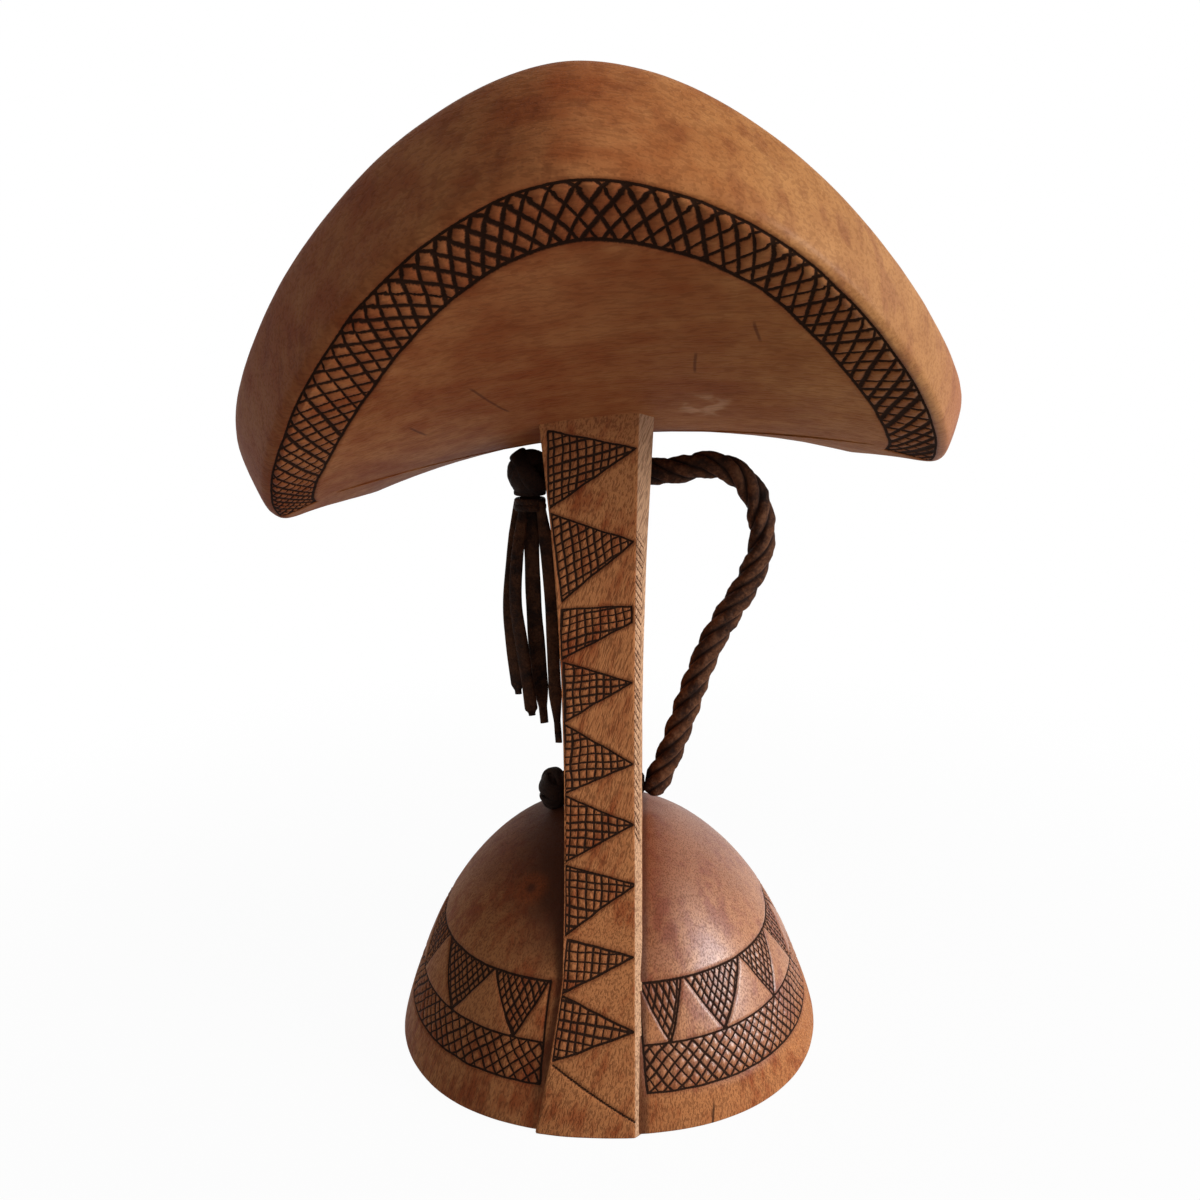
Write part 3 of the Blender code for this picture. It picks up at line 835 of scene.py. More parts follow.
def make_post_mesh(wood):
    """The blade, with close points on its front and back faces and softened edges."""
    heights = np.linspace(0, wood.seat_height + wood.post_into_pillow, 440)
    left = -post_left(wood, heights)
    right = post_right(wood, heights)
    depth = post_depth(wood, heights)
    cut = wood.post_chamfer + head_flare(wood, heights) / 2
    corner = depth - foot_round(wood, heights, right - cut) - cut
    face_count, chamfer_count, side_count = 52, 10, 30
    side_start = face_count + chamfer_count
    side_end = side_start + side_count
    back_start = side_end + chamfer_count
    chamfer_share = np.linspace(0, 1, chamfer_count, endpoint=False)
    side_share = 0.5 - 0.5 * np.cos(np.linspace(0, math.pi, side_count, endpoint=False))
    across = left[:, None] + (right - cut - left)[:, None] * np.linspace(0, 1, face_count + 1)
    deep = depth[:, None] - foot_round(wood, heights[:, None], across)
    high = np.broadcast_to(heights[:, None], across.shape)
    front = np.stack((across, -deep, high), axis=2)
    back = np.stack((across, deep, high), axis=2)[:, ::-1]
    front_right = np.stack((right, -corner, heights), axis=1)
    back_right = np.stack((right, corner, heights), axis=1)

    def between(start, end, share):
        return start[:, None] + (end - start)[:, None] * share[None, :, None]

    rings = np.concatenate(
        (
            front[:, :face_count],
            between(front[:, -1], front_right, chamfer_share),
            between(front_right, back_right, side_share),
            between(back_right, back[:, 0], chamfer_share),
            back[:, :face_count],
            between(back[:, -1], front[:, 0], side_share),
        ),
        axis=1,
    )
    flat = rings
    for _ in range(2):
        rings = 0.5 * rings + 0.25 * (np.roll(rings, 1, axis=1) + np.roll(rings, -1, axis=1))
    shape = Shape()
    # The chamfers, and the right face in part, are marked pale: rubbed wear, and painted light where they
    # face the lamp
    pale = np.zeros(rings.shape[1])
    pale[face_count + 1 : back_start] = 1.0
    pale[side_start + 1 : side_end] = 0.3
    head = np.array((0, 0, heights[-1]))
    shape.add(rings, np.broadcast_to(pale, rings.shape[:2]), start=(0, 0, 0), end=head)
    mesh = shape.mesh("post")
    _, column, points, _, _ = quad_corners(rings)
    x, y, z = (points[..., axis] for axis in range(3))
    starts = (side_start, side_end, back_start + face_count)
    left_of = [x + 13, 55 + (y + 46) / 2, x + 41, 104 + (y + 46) / 2]
    across = np.select([column < start for start in starts], left_of[:3], left_of[3])
    ends = [fan_corners(rings[0], (0, 0, 0), False), fan_corners(rings[-1], head, True)]
    ends = [(20 + 40 * place, 141) + end[..., :2] * (0.5, 0.2) for place, end in enumerate(ends)]
    lay_flat(mesh, 152.0, np.stack((across, z + 0.5), axis=-1), *ends)
    faces = (np.arange(face_count + 1), back_start + np.arange(face_count + 1))
    nicks = np.arange(round(NICK_REACH * chamfer_count))
    chamfers = (face_count + 1 + nicks, back_start - 1 - nicks)
    return mesh, make_post_pattern(wood, flat, faces, chamfers)


def band_places(wood, end, points):
    """Where points of the underside lie on an end's band: along it from the tip, and in from the edge."""
    count = 1500
    arc, after = pillow_end(wood, end, count, waisted=False)
    before = pillow_end(wood, -end, count, waisted=False)[1]
    outline = np.vstack((before[count // 2 :], arc, after[: count // 2]))[:, :2]
    spots = seat_points(wood, outline[:, 0], outline[:, 1])
    along = travelled(spots)
    along = (along - along[np.argmax(np.abs(outline[:, 1]))]) / MM
    tree = KDTree(len(outline))
    for index, (x, y) in enumerate(outline):
        tree.insert((x, y, 0), index)
    tree.balance()
    nearest = np.array([tree.find((x, y, 0))[1] for x, y, _ in points])
    inside = np.linalg.norm((points - spots[nearest])[:, :2], axis=1) / MM
    return along[nearest], inside


def make_pillow_pattern(wood, points, beyond, index, total):
    """A band of crossed cuts between two lines under each end of the pillow.

    beyond is how much further out points lie than their places on the underside.
    """
    pattern = Pattern(total, seed=37)
    table = np.array(BAND).T
    middle = 4.7
    marks = np.linspace(-115, 115, 461)
    for end in (-1, 1):
        mine = points[:, 1] * end > -0.0005
        around, inside = band_places(wood, end, points[mine])
        inside = inside - beyond[mine] / MM
        spots = np.stack((around, inside), axis=1)
        outer, inner = (np.interp(around, table[0], line) for line in table[1:3])
        edge = np.maximum(outer - inside, inside - inner) + pattern.waver(spots, 6.0, 0.2)
        edge = np.maximum(edge, np.abs(around) - BAND_END)
        sets = []
        for slopes, spacings, heading in ((table[3], table[4], -1), (table[5], table[6], 1)):
            slope = np.radians(np.interp(around, table[0], slopes))
            places = around + heading * (middle - inside) / np.tan(slope)
            places = places + pattern.waver(spots, 7.0, 0.45) + pattern.waver(spots, 2.0, 0.08)
            cuts = np.cumsum(0.5 / np.interp(marks, table[0], spacings))
            spacing = np.interp(places, table[0], spacings)
            thin = spacing * np.sin(slope) / np.interp(around, table[0], table[7])
            sets.append(pattern.ruled(np.interp(places, marks, cuts), 1.0) * thin)
        pattern.lay(index[mine], edge, *sets)
    return pattern


def make_pillow_mesh(wood):
    """The saddle, with close points on its hatched band, a swelling rim and a smooth top."""
    edge = np.vstack([part for end in (-1, 1) for part in pillow_end(wood, end, 1500)])
    edge = np.vstack((edge, edge[:1]))
    along = travelled(seat_points(wood, edge[:, 0], edge[:, 1]))
    places = np.linspace(0, along[-1], 1216, endpoint=False)
    x, y, thick = (np.interp(places, along, edge[:, axis]) for axis in range(3))
    ahead = np.stack((np.roll(x, -1) - np.roll(x, 1), np.roll(y, -1) - np.roll(y, 1)), axis=1)
    inward = unit(np.stack((-ahead[:, 1], ahead[:, 0]), axis=1))
    soft = unit(sum(np.roll(inward, step, axis=0) for step in range(-24, 25)))
    x, y = (sum(np.roll(line, step) for step in range(-6, 7)) / 13 for line in (x, y))
    band = 0.0106
    under = []
    for share in PILLOW_UNDER_SHARES:
        under.append(seat_points(wood, (x + soft[:, 0] * band) * share, (y + soft[:, 1] * band) * share))
    for inside in np.linspace(band, wood.rim_low_round, 28, endpoint=False):
        under.append(seat_points(wood, x + soft[:, 0] * inside, y + soft[:, 1] * inside))
    place = seat_points(wood, x, y)
    up = seat_normals(wood, x, y)
    out = np.concatenate((-soft, np.zeros((len(x), 1))), axis=1)
    out = unit(out - up * np.sum(out * up, axis=1, keepdims=True))
    rim = []
    profile = [
        (rise, wood.rim_bulge * bulge - wood.rim_low_round * low_share, wood.rim_top_round * top_share)
        for rise, bulge, top_share, low_share in RIM_RINGS
    ]
    fine = smooth_line(profile, 600).T
    rises = np.concatenate((RIM_LOW_RISES, np.linspace(0.2, 1, 18)))
    swells, insets = (np.interp(rises, fine[0], line) for line in fine[1:])
    bend = np.sum((np.roll(inward, -10, axis=0) - np.roll(inward, 10, axis=0)) ** 2, axis=1)
    ease = 1 / (1 + 3 * sum(np.roll(bend, step) for step in range(-14, 15)) / 29)
    for rise, swell, inset in zip(rises, swells, insets):
        rim.append(place + up * (thick * rise)[:, None] + out * (swell - inset * ease)[:, None])
    top = []
    for share in PILLOW_TOP_SHARES:
        spot = seat_points(wood, x * share, y * share)
        deep = wood.pillow_middle_thick + (thick - wood.pillow_middle_thick) * share**2
        top.append(spot + seat_normals(wood, x * share, y * share) * deep[:, None])
    middle = np.array((0, 0, wood.seat_height))
    crown = middle + seat_normals(wood, np.zeros(1), np.zeros(1))[0] * wood.pillow_middle_thick
    shape = Shape()
    below = np.concatenate((np.ones(len(under)), np.zeros(len(rim) + len(top))))
    rings = np.array([*under, *rim, *reversed(top)])
    shape.add(rings, below[:, None], start=middle, end=crown)
    mesh = shape.mesh("pillow")
    lay_pillow_flat(mesh, rings, len(under), len(rim), middle, crown)
    low_rim = len(RIM_LOW_RISES)
    plain = len(PILLOW_UNDER_SHARES)
    index = np.arange(plain * len(x), (len(under) + low_rim) * len(x))
    points = np.concatenate((*under[plain:], *[place] * low_rim))
    beyond = [np.zeros(len(x))] * (len(under) - plain) + [
        swell + thick * rise for rise, swell in zip(RIM_LOW_RISES, swells)
    ]
    total = (len(under) + len(rim) + len(top)) * len(x) + 2
    return mesh, make_pillow_pattern(wood, points, np.concatenate(beyond), index, total)


def lay_pillow_flat(mesh, rings, under_count, rim_count, middle, crown):
    """Lays the underside and the top side by side, and the rim in two long strips."""
    row, column, points, columns, rows = quad_corners(rings)
    side_count = rings.shape[1]
    climb = np.linalg.norm(np.diff(rings, axis=0), axis=2).max(axis=1)
    climb[:under_count] = 0
    climb = np.concatenate(([0.0], np.cumsum(climb))) / MM
    second = column >= side_count // 2
    across = 490 * columns / side_count - 245 * second + 1
    strip = np.stack((across, 168 + 34 * second + climb[rows]), axis=-1)
    low, high = np.array((65.0, 82.0)), np.array((195.0, 82.0))
    beneath = (row < under_count)[..., None]
    on_rim = (row < under_count + rim_count - 1)[..., None]
    flat = points[..., :2]
    grid = np.where(beneath, flat + low, np.where(on_rim, strip, flat + high))
    low_fan = fan_corners(rings[0], middle, False)[..., :2] + low
    high_fan = fan_corners(rings[-1], crown, True)[..., :2] + high
    lay_flat(mesh, 262.0, grid, low_fan, high_fan)


# Finishes


class Value:
    """A node's output. Python's operators on it add Math nodes."""

    def __init__(self, finish, socket):
        self.finish = finish
        self.socket = socket

    def math(self, operation, first, second):
        return self.finish.node("ShaderNodeMath", {"operation": operation}, {0: first, 1: second})

    def __add__(self, other):
        return self.math("ADD", self, other)

    def __radd__(self, other):
        return self.math("ADD", other, self)

    def __sub__(self, other):
        return self.math("SUBTRACT", self, other)

    def __rsub__(self, other):
        return self.math("SUBTRACT", other, self)

    def __mul__(self, other):
        return self.math("MULTIPLY", self, other)

    def __rmul__(self, other):
        return self.math("MULTIPLY", other, self)

    def __truediv__(self, other):
        return self.math("DIVIDE", self, other)

    def least(self, other):
        return self.math("MINIMUM", self, other)

    def most(self, other):
        return self.math("MAXIMUM", self, other)

    def absolute(self):
        return self.math("ABSOLUTE", self, 0.0)


class Finish:
    """A material or a world whose nodes are added one by one."""

    def __init__(self, owner):
        self.owner = owner
        owner.use_nodes = True
        self.tree = owner.node_tree
        self.tree.nodes.clear()

    def node(self, kind, settings=None, sockets=None, output=0):
        """Adds a node, sets its settings first and then the values or links of its sockets."""
        node = self.tree.nodes.new(kind)
        for name, value in (settings or {}).items():
            setattr(node, name, value)
        for name, value in (sockets or {}).items():
            if isinstance(value, Value):
                self.tree.links.new(value.socket, node.inputs[name])
            else:
                node.inputs[name].default_value = value
        return Value(self, node.outputs[output]) if len(node.outputs) else node

    def place(self, scale, rotation=(0, 0, 0)):
        """The piece's own coordinates, turned and then stretched."""
        spot = self.node("ShaderNodeTexCoord", output="Object")
        turned = self.node("ShaderNodeMapping", None, {"Vector": spot, "Rotation": rotation})
        return self.node("ShaderNodeVectorMath", {"operation": "MULTIPLY"}, {0: turned, 1: scale})

    def noise(self, vector, scale=1.0, detail=2.0, roughness=0.5):
        """Smooth noise from 0 to 1."""
        sockets = {"Vector": vector, "Scale": scale, "Detail": detail, "Roughness": roughness}
        return self.node("ShaderNodeTexNoise", None, sockets)

    def between(self, value, low, high):
        """0 below low, 1 above high, and smooth between them."""
        sockets = {"Value": value, "From Min": low, "From Max": high}
        return self.node("ShaderNodeMapRange", {"interpolation_type": "SMOOTHSTEP"}, sockets)

    def mix(self, share, first, second):
        """A colour between two."""
        sockets = {0: share, 6: first, 7: second}
        return self.node("ShaderNodeMix", {"data_type": "RGBA", "clamp_factor": True}, sockets, output=2)

    def mark(self, name):
        """A number stored on the piece's points."""
        return self.node("ShaderNodeAttribute", {"attribute_name": name}, output="Fac")

    def axes(self):
        """X, Y and Z of the piece's own coordinates, in millimetres."""
        spot = self.place((1000, 1000, 1000))
        return [self.node("ShaderNodeSeparateXYZ", None, {0: spot}, output=axis) for axis in range(3)]

    def distance(self, spot):
        """Distance of the piece's own coordinates from a spot, in millimetres."""
        sockets = {0: self.place((1000, 1000, 1000)), 1: spot}
        return self.node("ShaderNodeVectorMath", {"operation": "DISTANCE"}, sockets, output="Value")

    def bump(self, height, distance, strength):
        """A normal from a height."""
        sockets = {"Height": height, "Distance": distance, "Strength": strength}
        return self.node("ShaderNodeBump", None, sockets)

    def shade(self, constants, colour, roughness, normal):
        """Ends the material in one Principled shader."""
        sockets = {"Base Color": colour, "Roughness": roughness, "Normal": normal, **constants}
        shader = self.node("ShaderNodeBsdfPrincipled", None, sockets)
        self.node("ShaderNodeOutputMaterial", None, {"Surface": shader})
        return self.owner


def solid(shade):
    """A property's colour with full alpha."""
    return (*shade, 1.0)


def new_finish(name):
    """An empty material to fill with nodes."""
    return Finish(bpy.data.materials.new(name))


def carved_wood(
    name,
    wood,
    grain,
    lean,
    stains_and_painted_light,
    pore_share,
    cut_width,
    tone=0.0,
    polish=None,
    sheen=0.08,
    even=0.0,
):
    """Oiled wood with short pores along the grain, worn and darkened places, some of them painted shade and
    painted light, and burnt cuts with grime and painted shade beside them.

    grain stretches the pores, and lean turns them. The stains function gives shares and colours of other
    places, which are real stains and also painted shade and light. polish gives how far the wood is polished
    by use. tone lightens the wood, and an even wood has less figure.
    """
    finish = new_finish(name)
    figure = finish.noise(finish.place((60, 60, 60)), 1.0, 4.0, 0.6)
    blotch = finish.noise(finish.place((210, 210, 130)), 1.0, 2.0, 0.5)
    streak = finish.noise(finish.place(tuple(0.16 * value for value in grain), lean), 1.0, 3.0, 0.55)
    dashes = finish.noise(finish.place(grain, lean), 1.0, 1.0)
    fine = finish.noise(finish.place(tuple(1.9 * value for value in grain), lean), 1.0, 1.0)
    specks = finish.noise(finish.place((2300, 2300, 2300)), 1.0, 1.0)
    coarse = finish.between(dashes, 0.48, 0.61)
    pores = coarse.most(0.6 * finish.between(fine, 0.54, 0.66)) * pore_share
    tint = finish.between(0.4 * figure + 0.35 * streak + 0.25 * blotch + tone, 0.42 - even, 0.58 + even)
    shade = finish.mix(tint, solid(wood.brown), solid(wood.tan))
    for share, stain_and_shade in stains_and_painted_light(finish, figure, blotch):
        shade = finish.mix(share, shade, solid(stain_and_shade))
    shade = finish.mix(pores * (0.45 + 0.4 * specks), shade, solid(wood.pore))
    ragged = 0.16 * (finish.noise(finish.place((3200, 3200, 3200)), 1.0, 2.0) - 0.5)
    edge = finish.mark("cut_edge")
    hatch = finish.mark("cut_first").absolute().least(finish.mark("cut_second").absolute())
    hatch = hatch / cut_width
    outline = edge.absolute().least(finish.mark("cut_single") * 0.9) / cut_width
    inside = 1 - finish.between(edge + 0.5 * specks, 0.25, 0.5)
    burn = (1 - finish.between(outline + ragged, 0.17, 0.34)).most(
        inside * (1 - finish.between(hatch + ragged, 0.14, 0.31))
    )
    # Grime beside the cuts, which is also painted shade along the band's outer line where the rim's lower
    # edge turns under
    close = edge.absolute().least(finish.mark("cut_single") + 0.4)
    grime_and_shade = (1 - finish.between(close, 0.2, 1.0)).most(inside * (1 - finish.between(hatch, 0.2, 0.9)))
    # grime and painted shade beside the cuts
    shade = finish.mix(0.42 * grime_and_shade, shade, solid(wood.red_brown))
    shade = finish.mix(0.95 * burn, shade, solid(wood.burnt))
    gloss = 0.56 - 0.1 * figure + 0.14 * pores + 0.25 * burn + 0.08 * specks
    height = 0.35 * specks - 0.8 * pores - 1.2 * burn + 0.25 * streak
    normal = finish.bump(height, 0.00013, 0.75)
    constants = {"Specular IOR Level": sheen, "Coat Roughness": 0.4, "Coat IOR": 1.7}
    if polish:
        constants["Coat Weight"] = polish(finish, figure) * (1 - burn) * (1 - 0.6 * pores)
    return finish.shade(constants, shade, gloss, normal)


def dark_leather(name, leather, nap, sheen, tone=1.0):
    """Suede-like leather, painted darker in its creases as shade, and rubbed pale on what stands out. A low
    tone darkens the whole piece.
    """
    finish = new_finish(name)
    crease = finish.mark("mark")
    fibres = finish.noise(finish.place((1700, 1700, 1700)), 1.0, 4.0, 0.7)
    patches = finish.noise(finish.place((260, 260, 260)), 1.0, 3.0, 0.6)
    grains = finish.noise(finish.place((5200, 5200, 5200)), 1.0, 1.0)
    deep = finish.between(crease, 0.3, 0.95)
    rubbed = finish.between(patches * 0.55 + fibres * 0.6, 0.5, 0.76) * (1 - deep)
    shade = finish.mix(tone * finish.between(patches, 0.25, 0.6), solid(leather.dark), solid(leather.brown))
    shade = finish.mix(nap * rubbed, shade, solid(leather.worn))
    # Painted shade in the creases between strands and in the cores of the knots
    shade = finish.mix(0.85 * deep, shade, solid(leather.dark))
    gloss = sheen + 0.2 * fibres + 0.12 * grains
    normal = finish.bump(fibres + 0.5 * grains, 0.00045, 1.0)
    return finish.shade({"Specular IOR Level": 0.1}, shade, gloss, normal)


# Leather shapes


def lobed_section(sides, strands=4):
    """Outline of a rope of round strands with a radius of one, and how deep its points lie between two."""
    centre = 0.53
    strand = 1 - centre
    turn = np.linspace(0, math.tau, sides, endpoint=False)
    from_strand = (turn * strands / math.tau + 0.5) % 1 - 0.5
    off = from_strand * math.tau / strands
    reach = centre * np.cos(off) + np.sqrt(strand**2 - (centre * np.sin(off)) ** 2)
    return turn, reach, (1 - reach) / (1 - reach.min())


def rope_rings(path, radii, lay, outward, sides=56):
    """Rings of a twisted rope along a path, and the depth of its creases."""
    turn, reach, crease = lobed_section(sides)
    twist = -math.tau * travelled(path) / lay
    angles = turn[None, :] + twist[:, None]
    spots = np.stack((reach * np.cos(angles), reach * np.sin(angles)), axis=2) * radii[:, None, None]
    rings = sweep(path, np.broadcast_to(np.asarray(outward, float), path.shape), spots)
    rough = ripple(rings.reshape(-1, 3), 0.0014, 3).reshape(rings.shape[:2]) - 0.5
    return rings + (rings - path[:, None]) * (0.16 * rough)[..., None], crease


def thong_sections(widths, thicks, sides=16):
    """Outlines of a flat thong with soft edges."""
    turn = np.linspace(0, math.tau, sides, endpoint=False)
    across = np.sign(np.cos(turn)) * np.abs(np.cos(turn)) ** 0.7
    out = np.sign(np.sin(turn)) * np.abs(np.sin(turn)) ** 0.8
    return np.stack((0.5 * widths[:, None] * across, 0.5 * thicks[:, None] * out), axis=2)


def knot_centre(wood, leather, height, radius):
    """Middle of a stopper knot that bears on the post's left face."""
    return np.array((-float(post_left(wood, height)) - leather.seat_gap - radius, 0.0, height))


def strap_end(wood, leather, height):
    """Middle of the strap's round end in front of a hole."""
    return np.array((rope_end(wood, leather, height) + leather.seat_gap + leather.rope_radius, 0.0, height))


def rope_end(wood, leather, height):
    """X of the end of the rope that fills a hole."""
    return float(post_right(wood, height)) + leather.rope_end_proud


def add_wrap(shape, centre, radii, axis, lift, width, thick):
    """A turn of thong round a knot, square to an axis and lifted along it."""
    axis = Vector(axis).normalized()
    first = axis.orthogonal().normalized()
    second = axis.cross(first)
    turns = np.linspace(0, math.tau, 72, endpoint=False)
    rise = lift + 0.06 * np.sin(2 * turns)
    ring = np.sqrt(np.clip(1 - rise**2, 0.05, 1))
    heading = (
        ring[:, None] * (np.cos(turns)[:, None] * np.array(first) + np.sin(turns)[:, None] * np.array(second))
        + rise[:, None] * np.array(axis)
    )
    path = np.asarray(centre) + heading * np.asarray(radii)
    widths = width * (1 + 0.12 * np.sin(3 * turns + lift))
    rings = sweep(path, heading, thong_sections(widths, np.full(len(turns), thick)), closed=True)
    edge = np.abs(np.linspace(0, 1, 16, endpoint=False) * 2 - 1)
    shape.add(rings, marks=np.broadcast_to(0.25 * edge, rings.shape[:2]), closed=True)


def add_ring(shape, centre, reach, width, thick):
    """A level turn of thong that rises and falls a little."""
    turns = np.linspace(0, math.tau, 60, endpoint=False)
    heading = np.stack((np.cos(turns), np.sin(turns), np.zeros(60)), axis=1)
    path = np.asarray(centre) + heading * np.array((*reach, 0))
    path[:, 2] += 0.0001 * np.sin(turns)
    sections = thong_sections(np.full(60, width), np.full(60, thick))
    shape.add(sweep(path, heading, sections, closed=True), closed=True)


def add_ball(shape, centre, radii, seed, mark=0.9):
    """A lumpy core inside a knot, whose mark paints it darker as shade between the wraps."""
    turns = np.linspace(0, math.tau, 28, endpoint=False)
    tilts = np.linspace(-0.5 * math.pi, 0.5 * math.pi, 18)[1:-1]
    heading = np.stack(
        (
            np.cos(tilts)[:, None] * np.cos(turns),
            np.cos(tilts)[:, None] * np.sin(turns),
            np.broadcast_to(np.sin(tilts)[:, None], (len(tilts), len(turns))),
        ),
        axis=2,
    )
    lumps = 1 - 0.1 * ripple(heading.reshape(-1, 3), 0.6, seed).reshape(heading.shape[:2])
    rings = np.asarray(centre) + heading * np.asarray(radii) * lumps[..., None]
    tip = np.array((0, 0, radii[2] * 0.95))
    shape.add(rings, np.full(lumps.shape, mark), start=centre - tip, end=centre + tip)


def add_rope_stub(shape, leather, knot, finish):
    """The rope that runs from a knot's middle into its hole, up to X of its finish."""
    path = np.linspace(knot, (finish, 0, knot[2]), 60)
    near = np.clip((finish - path[:, 0]) / leather.rope_radius, 0, 1)
    radii = leather.rope_radius * (0.55 + 0.45 * np.sqrt(1 - (1 - near) ** 2))
    rings, crease = rope_rings(path, radii, leather.rope_lay, (0, 1, 0), 40)
    shape.add(rings, crease, start=path[0], end=path[-1])


# Operators


class HEADREST_OT_stage(Operator):
    """Set up the camera, the lamps, the white surroundings and the floor"""

    bl_idname = "headrest.set_stage"
    bl_label = "Stage"

    def execute(self, context):
        stage = context.scene.headrest_stage
        scene = context.scene
        scene.view_settings.view_transform = "Standard"
        lens = bpy.data.cameras.new("camera")
        lens.lens = stage.camera_lens
        lens.sensor_width = 36
        lens.clip_start = 0.01
        camera = bpy.data.objects.new("camera", lens)
        camera.matrix_world = (
            Matrix.Translation(stage.camera_place)
            @ Matrix.Rotation(stage.camera_yaw, 4, "Z")
            @ Matrix.Rotation(math.pi / 2 - stage.camera_pitch, 4, "X")
            @ Matrix.Rotation(-stage.camera_roll, 4, "Z")
        )
        scene.collection.objects.link(camera)
        scene.camera = camera
        self.add_lamp(scene, "key_lamp", (0.72, -0.25, 0.34), stage.key_power, 0.36)
        self.add_lamp(scene, "fill_lamp", (-0.3, -0.75, 0.3), stage.fill_power, 0.6)
        self.fill_world(scene, stage)
        self.add_floor(stage)
        return {"FINISHED"}

    def add_lamp(self, scene, name, place, power, size):
        """A soft square lamp that points at the headrest's middle."""
        lamp = bpy.data.lights.new(name, "AREA")
        lamp.energy = power
        lamp.size = size
        holder = bpy.data.objects.new(name, lamp)
        aim = Vector((0, 0, 0.08)) - Vector(place)
        holder.matrix_world = Matrix.Translation(place) @ aim.to_track_quat("-Z", "Y").to_matrix().to_4x4()
        scene.collection.objects.link(holder)

    def seen(self, finish):
        """1 for rays from the camera, and for those that mirrors and glass send on."""
        camera, glossy, clear = (
            finish.node("ShaderNodeLightPath", output=name)
            for name in ("Is Camera Ray", "Is Glossy Ray", "Is Transmission Ray")
        )
        settings = {"operation": "ADD", "use_clamp": True}
        return finish.node("ShaderNodeMath", settings, {0: camera, 1: glossy + clear})

    def fill_world(self, scene, stage):
        """White where it is seen, and a soft light from all round."""
        world = bpy.data.worlds.new("surroundings")
        scene.world = world
        finish = Finish(world)
        lit, white = (
            finish.node("ShaderNodeBackground", None, {"Color": WHITE, "Strength": strength})
            for strength in (stage.sky_strength, 1.0)
        )
        both = finish.node("ShaderNodeMixShader", None, {0: self.seen(finish), 1: lit, 2: white})
        finish.node("ShaderNodeOutputWorld", None, {"Surface": both})

    def add_floor(self, stage):
        """A pale floor that shows nearly white and keeps the shadow."""
        half = stage.floor_size / 2
        mesh = bpy.data.meshes.new("floor")
        corners = [(-half, -half, 0), (half, -half, 0), (half, half, 0), (-half, half, 0)]
        mesh.from_pydata(corners, [], [(0, 1, 2, 3)])
        finish = new_finish("pale_floor")
        shade = (stage.floor_shade,) * 3
        matt = finish.node("ShaderNodeBsdfDiffuse", None, {"Color": solid(shade)})
        white = finish.node("ShaderNodeEmission", None, {"Color": WHITE, "Strength": 1.0})
        spot = finish.node("ShaderNodeTexCoord", output="Object")
        away = finish.node("ShaderNodeVectorMath", {"operation": "LENGTH"}, {0: spot}, output="Value")
        share = (0.965 + 0.035 * finish.between(away, 0.08, 0.3)) * self.seen(finish)
        both = finish.node("ShaderNodeMixShader", None, {0: share, 1: matt, 2: white})
        finish.node("ShaderNodeOutputMaterial", None, {"Surface": both})
        floor = add_piece("floor", mesh, finish.owner)
        floor.location.z = -0.0002


class HEADREST_OT_strap(Operator):
    """Make the twisted carrying strap, a rope of four thongs"""

    bl_idname = "headrest.make_strap"
    bl_label = "Strap"

    def execute(self, context):
        wood = context.scene.headrest_wood
        leather = context.scene.headrest_leather
        radius = leather.rope_radius
        low = strap_end(wood, leather, leather.lower_hole_height) - (leather.rope_lower_set, 0, 0)
        high = strap_end(wood, leather, leather.upper_hole_height)
        path = smooth_line([low, *((x, 0.0, z) for x, z in STRAP_ROUTE), high], 300)
        blunt = path[0] + unit(path[0] - path[1]) * radius * 0.999
        inside = high - np.array((leather.rope_inside, 0, 0))
        whole = evenly(np.vstack((blunt, path, inside)), 350)
        along = travelled(whole)
        near = np.clip(along / radius, 0, 1)
        radii = 1.03 * radius * np.sqrt(np.clip(1 - (1 - near) ** 2, 0.02, 1))
        radii *= 1 - 0.05 * ripple(whole, 0.006, 4) + 0.2 * np.exp(-(((along - 0.003) / 0.003) ** 2))
        radii = np.where(whole[:, 0] < high[0], np.minimum(radii, radius), radii)
        rings, crease = rope_rings(whole, radii, leather.rope_lay, (0, 1, 0))
        shape = Shape()
        shape.add(rings, crease, start=whole[0], end=whole[-1])
        finish = dark_leather("strap_suede", leather, 0.62, 0.5)
        rope = add_piece("twisted_strap", shape.mesh("twisted_strap"), finish)
        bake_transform(rope)
        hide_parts("strap_loop")
        return {"FINISHED"}


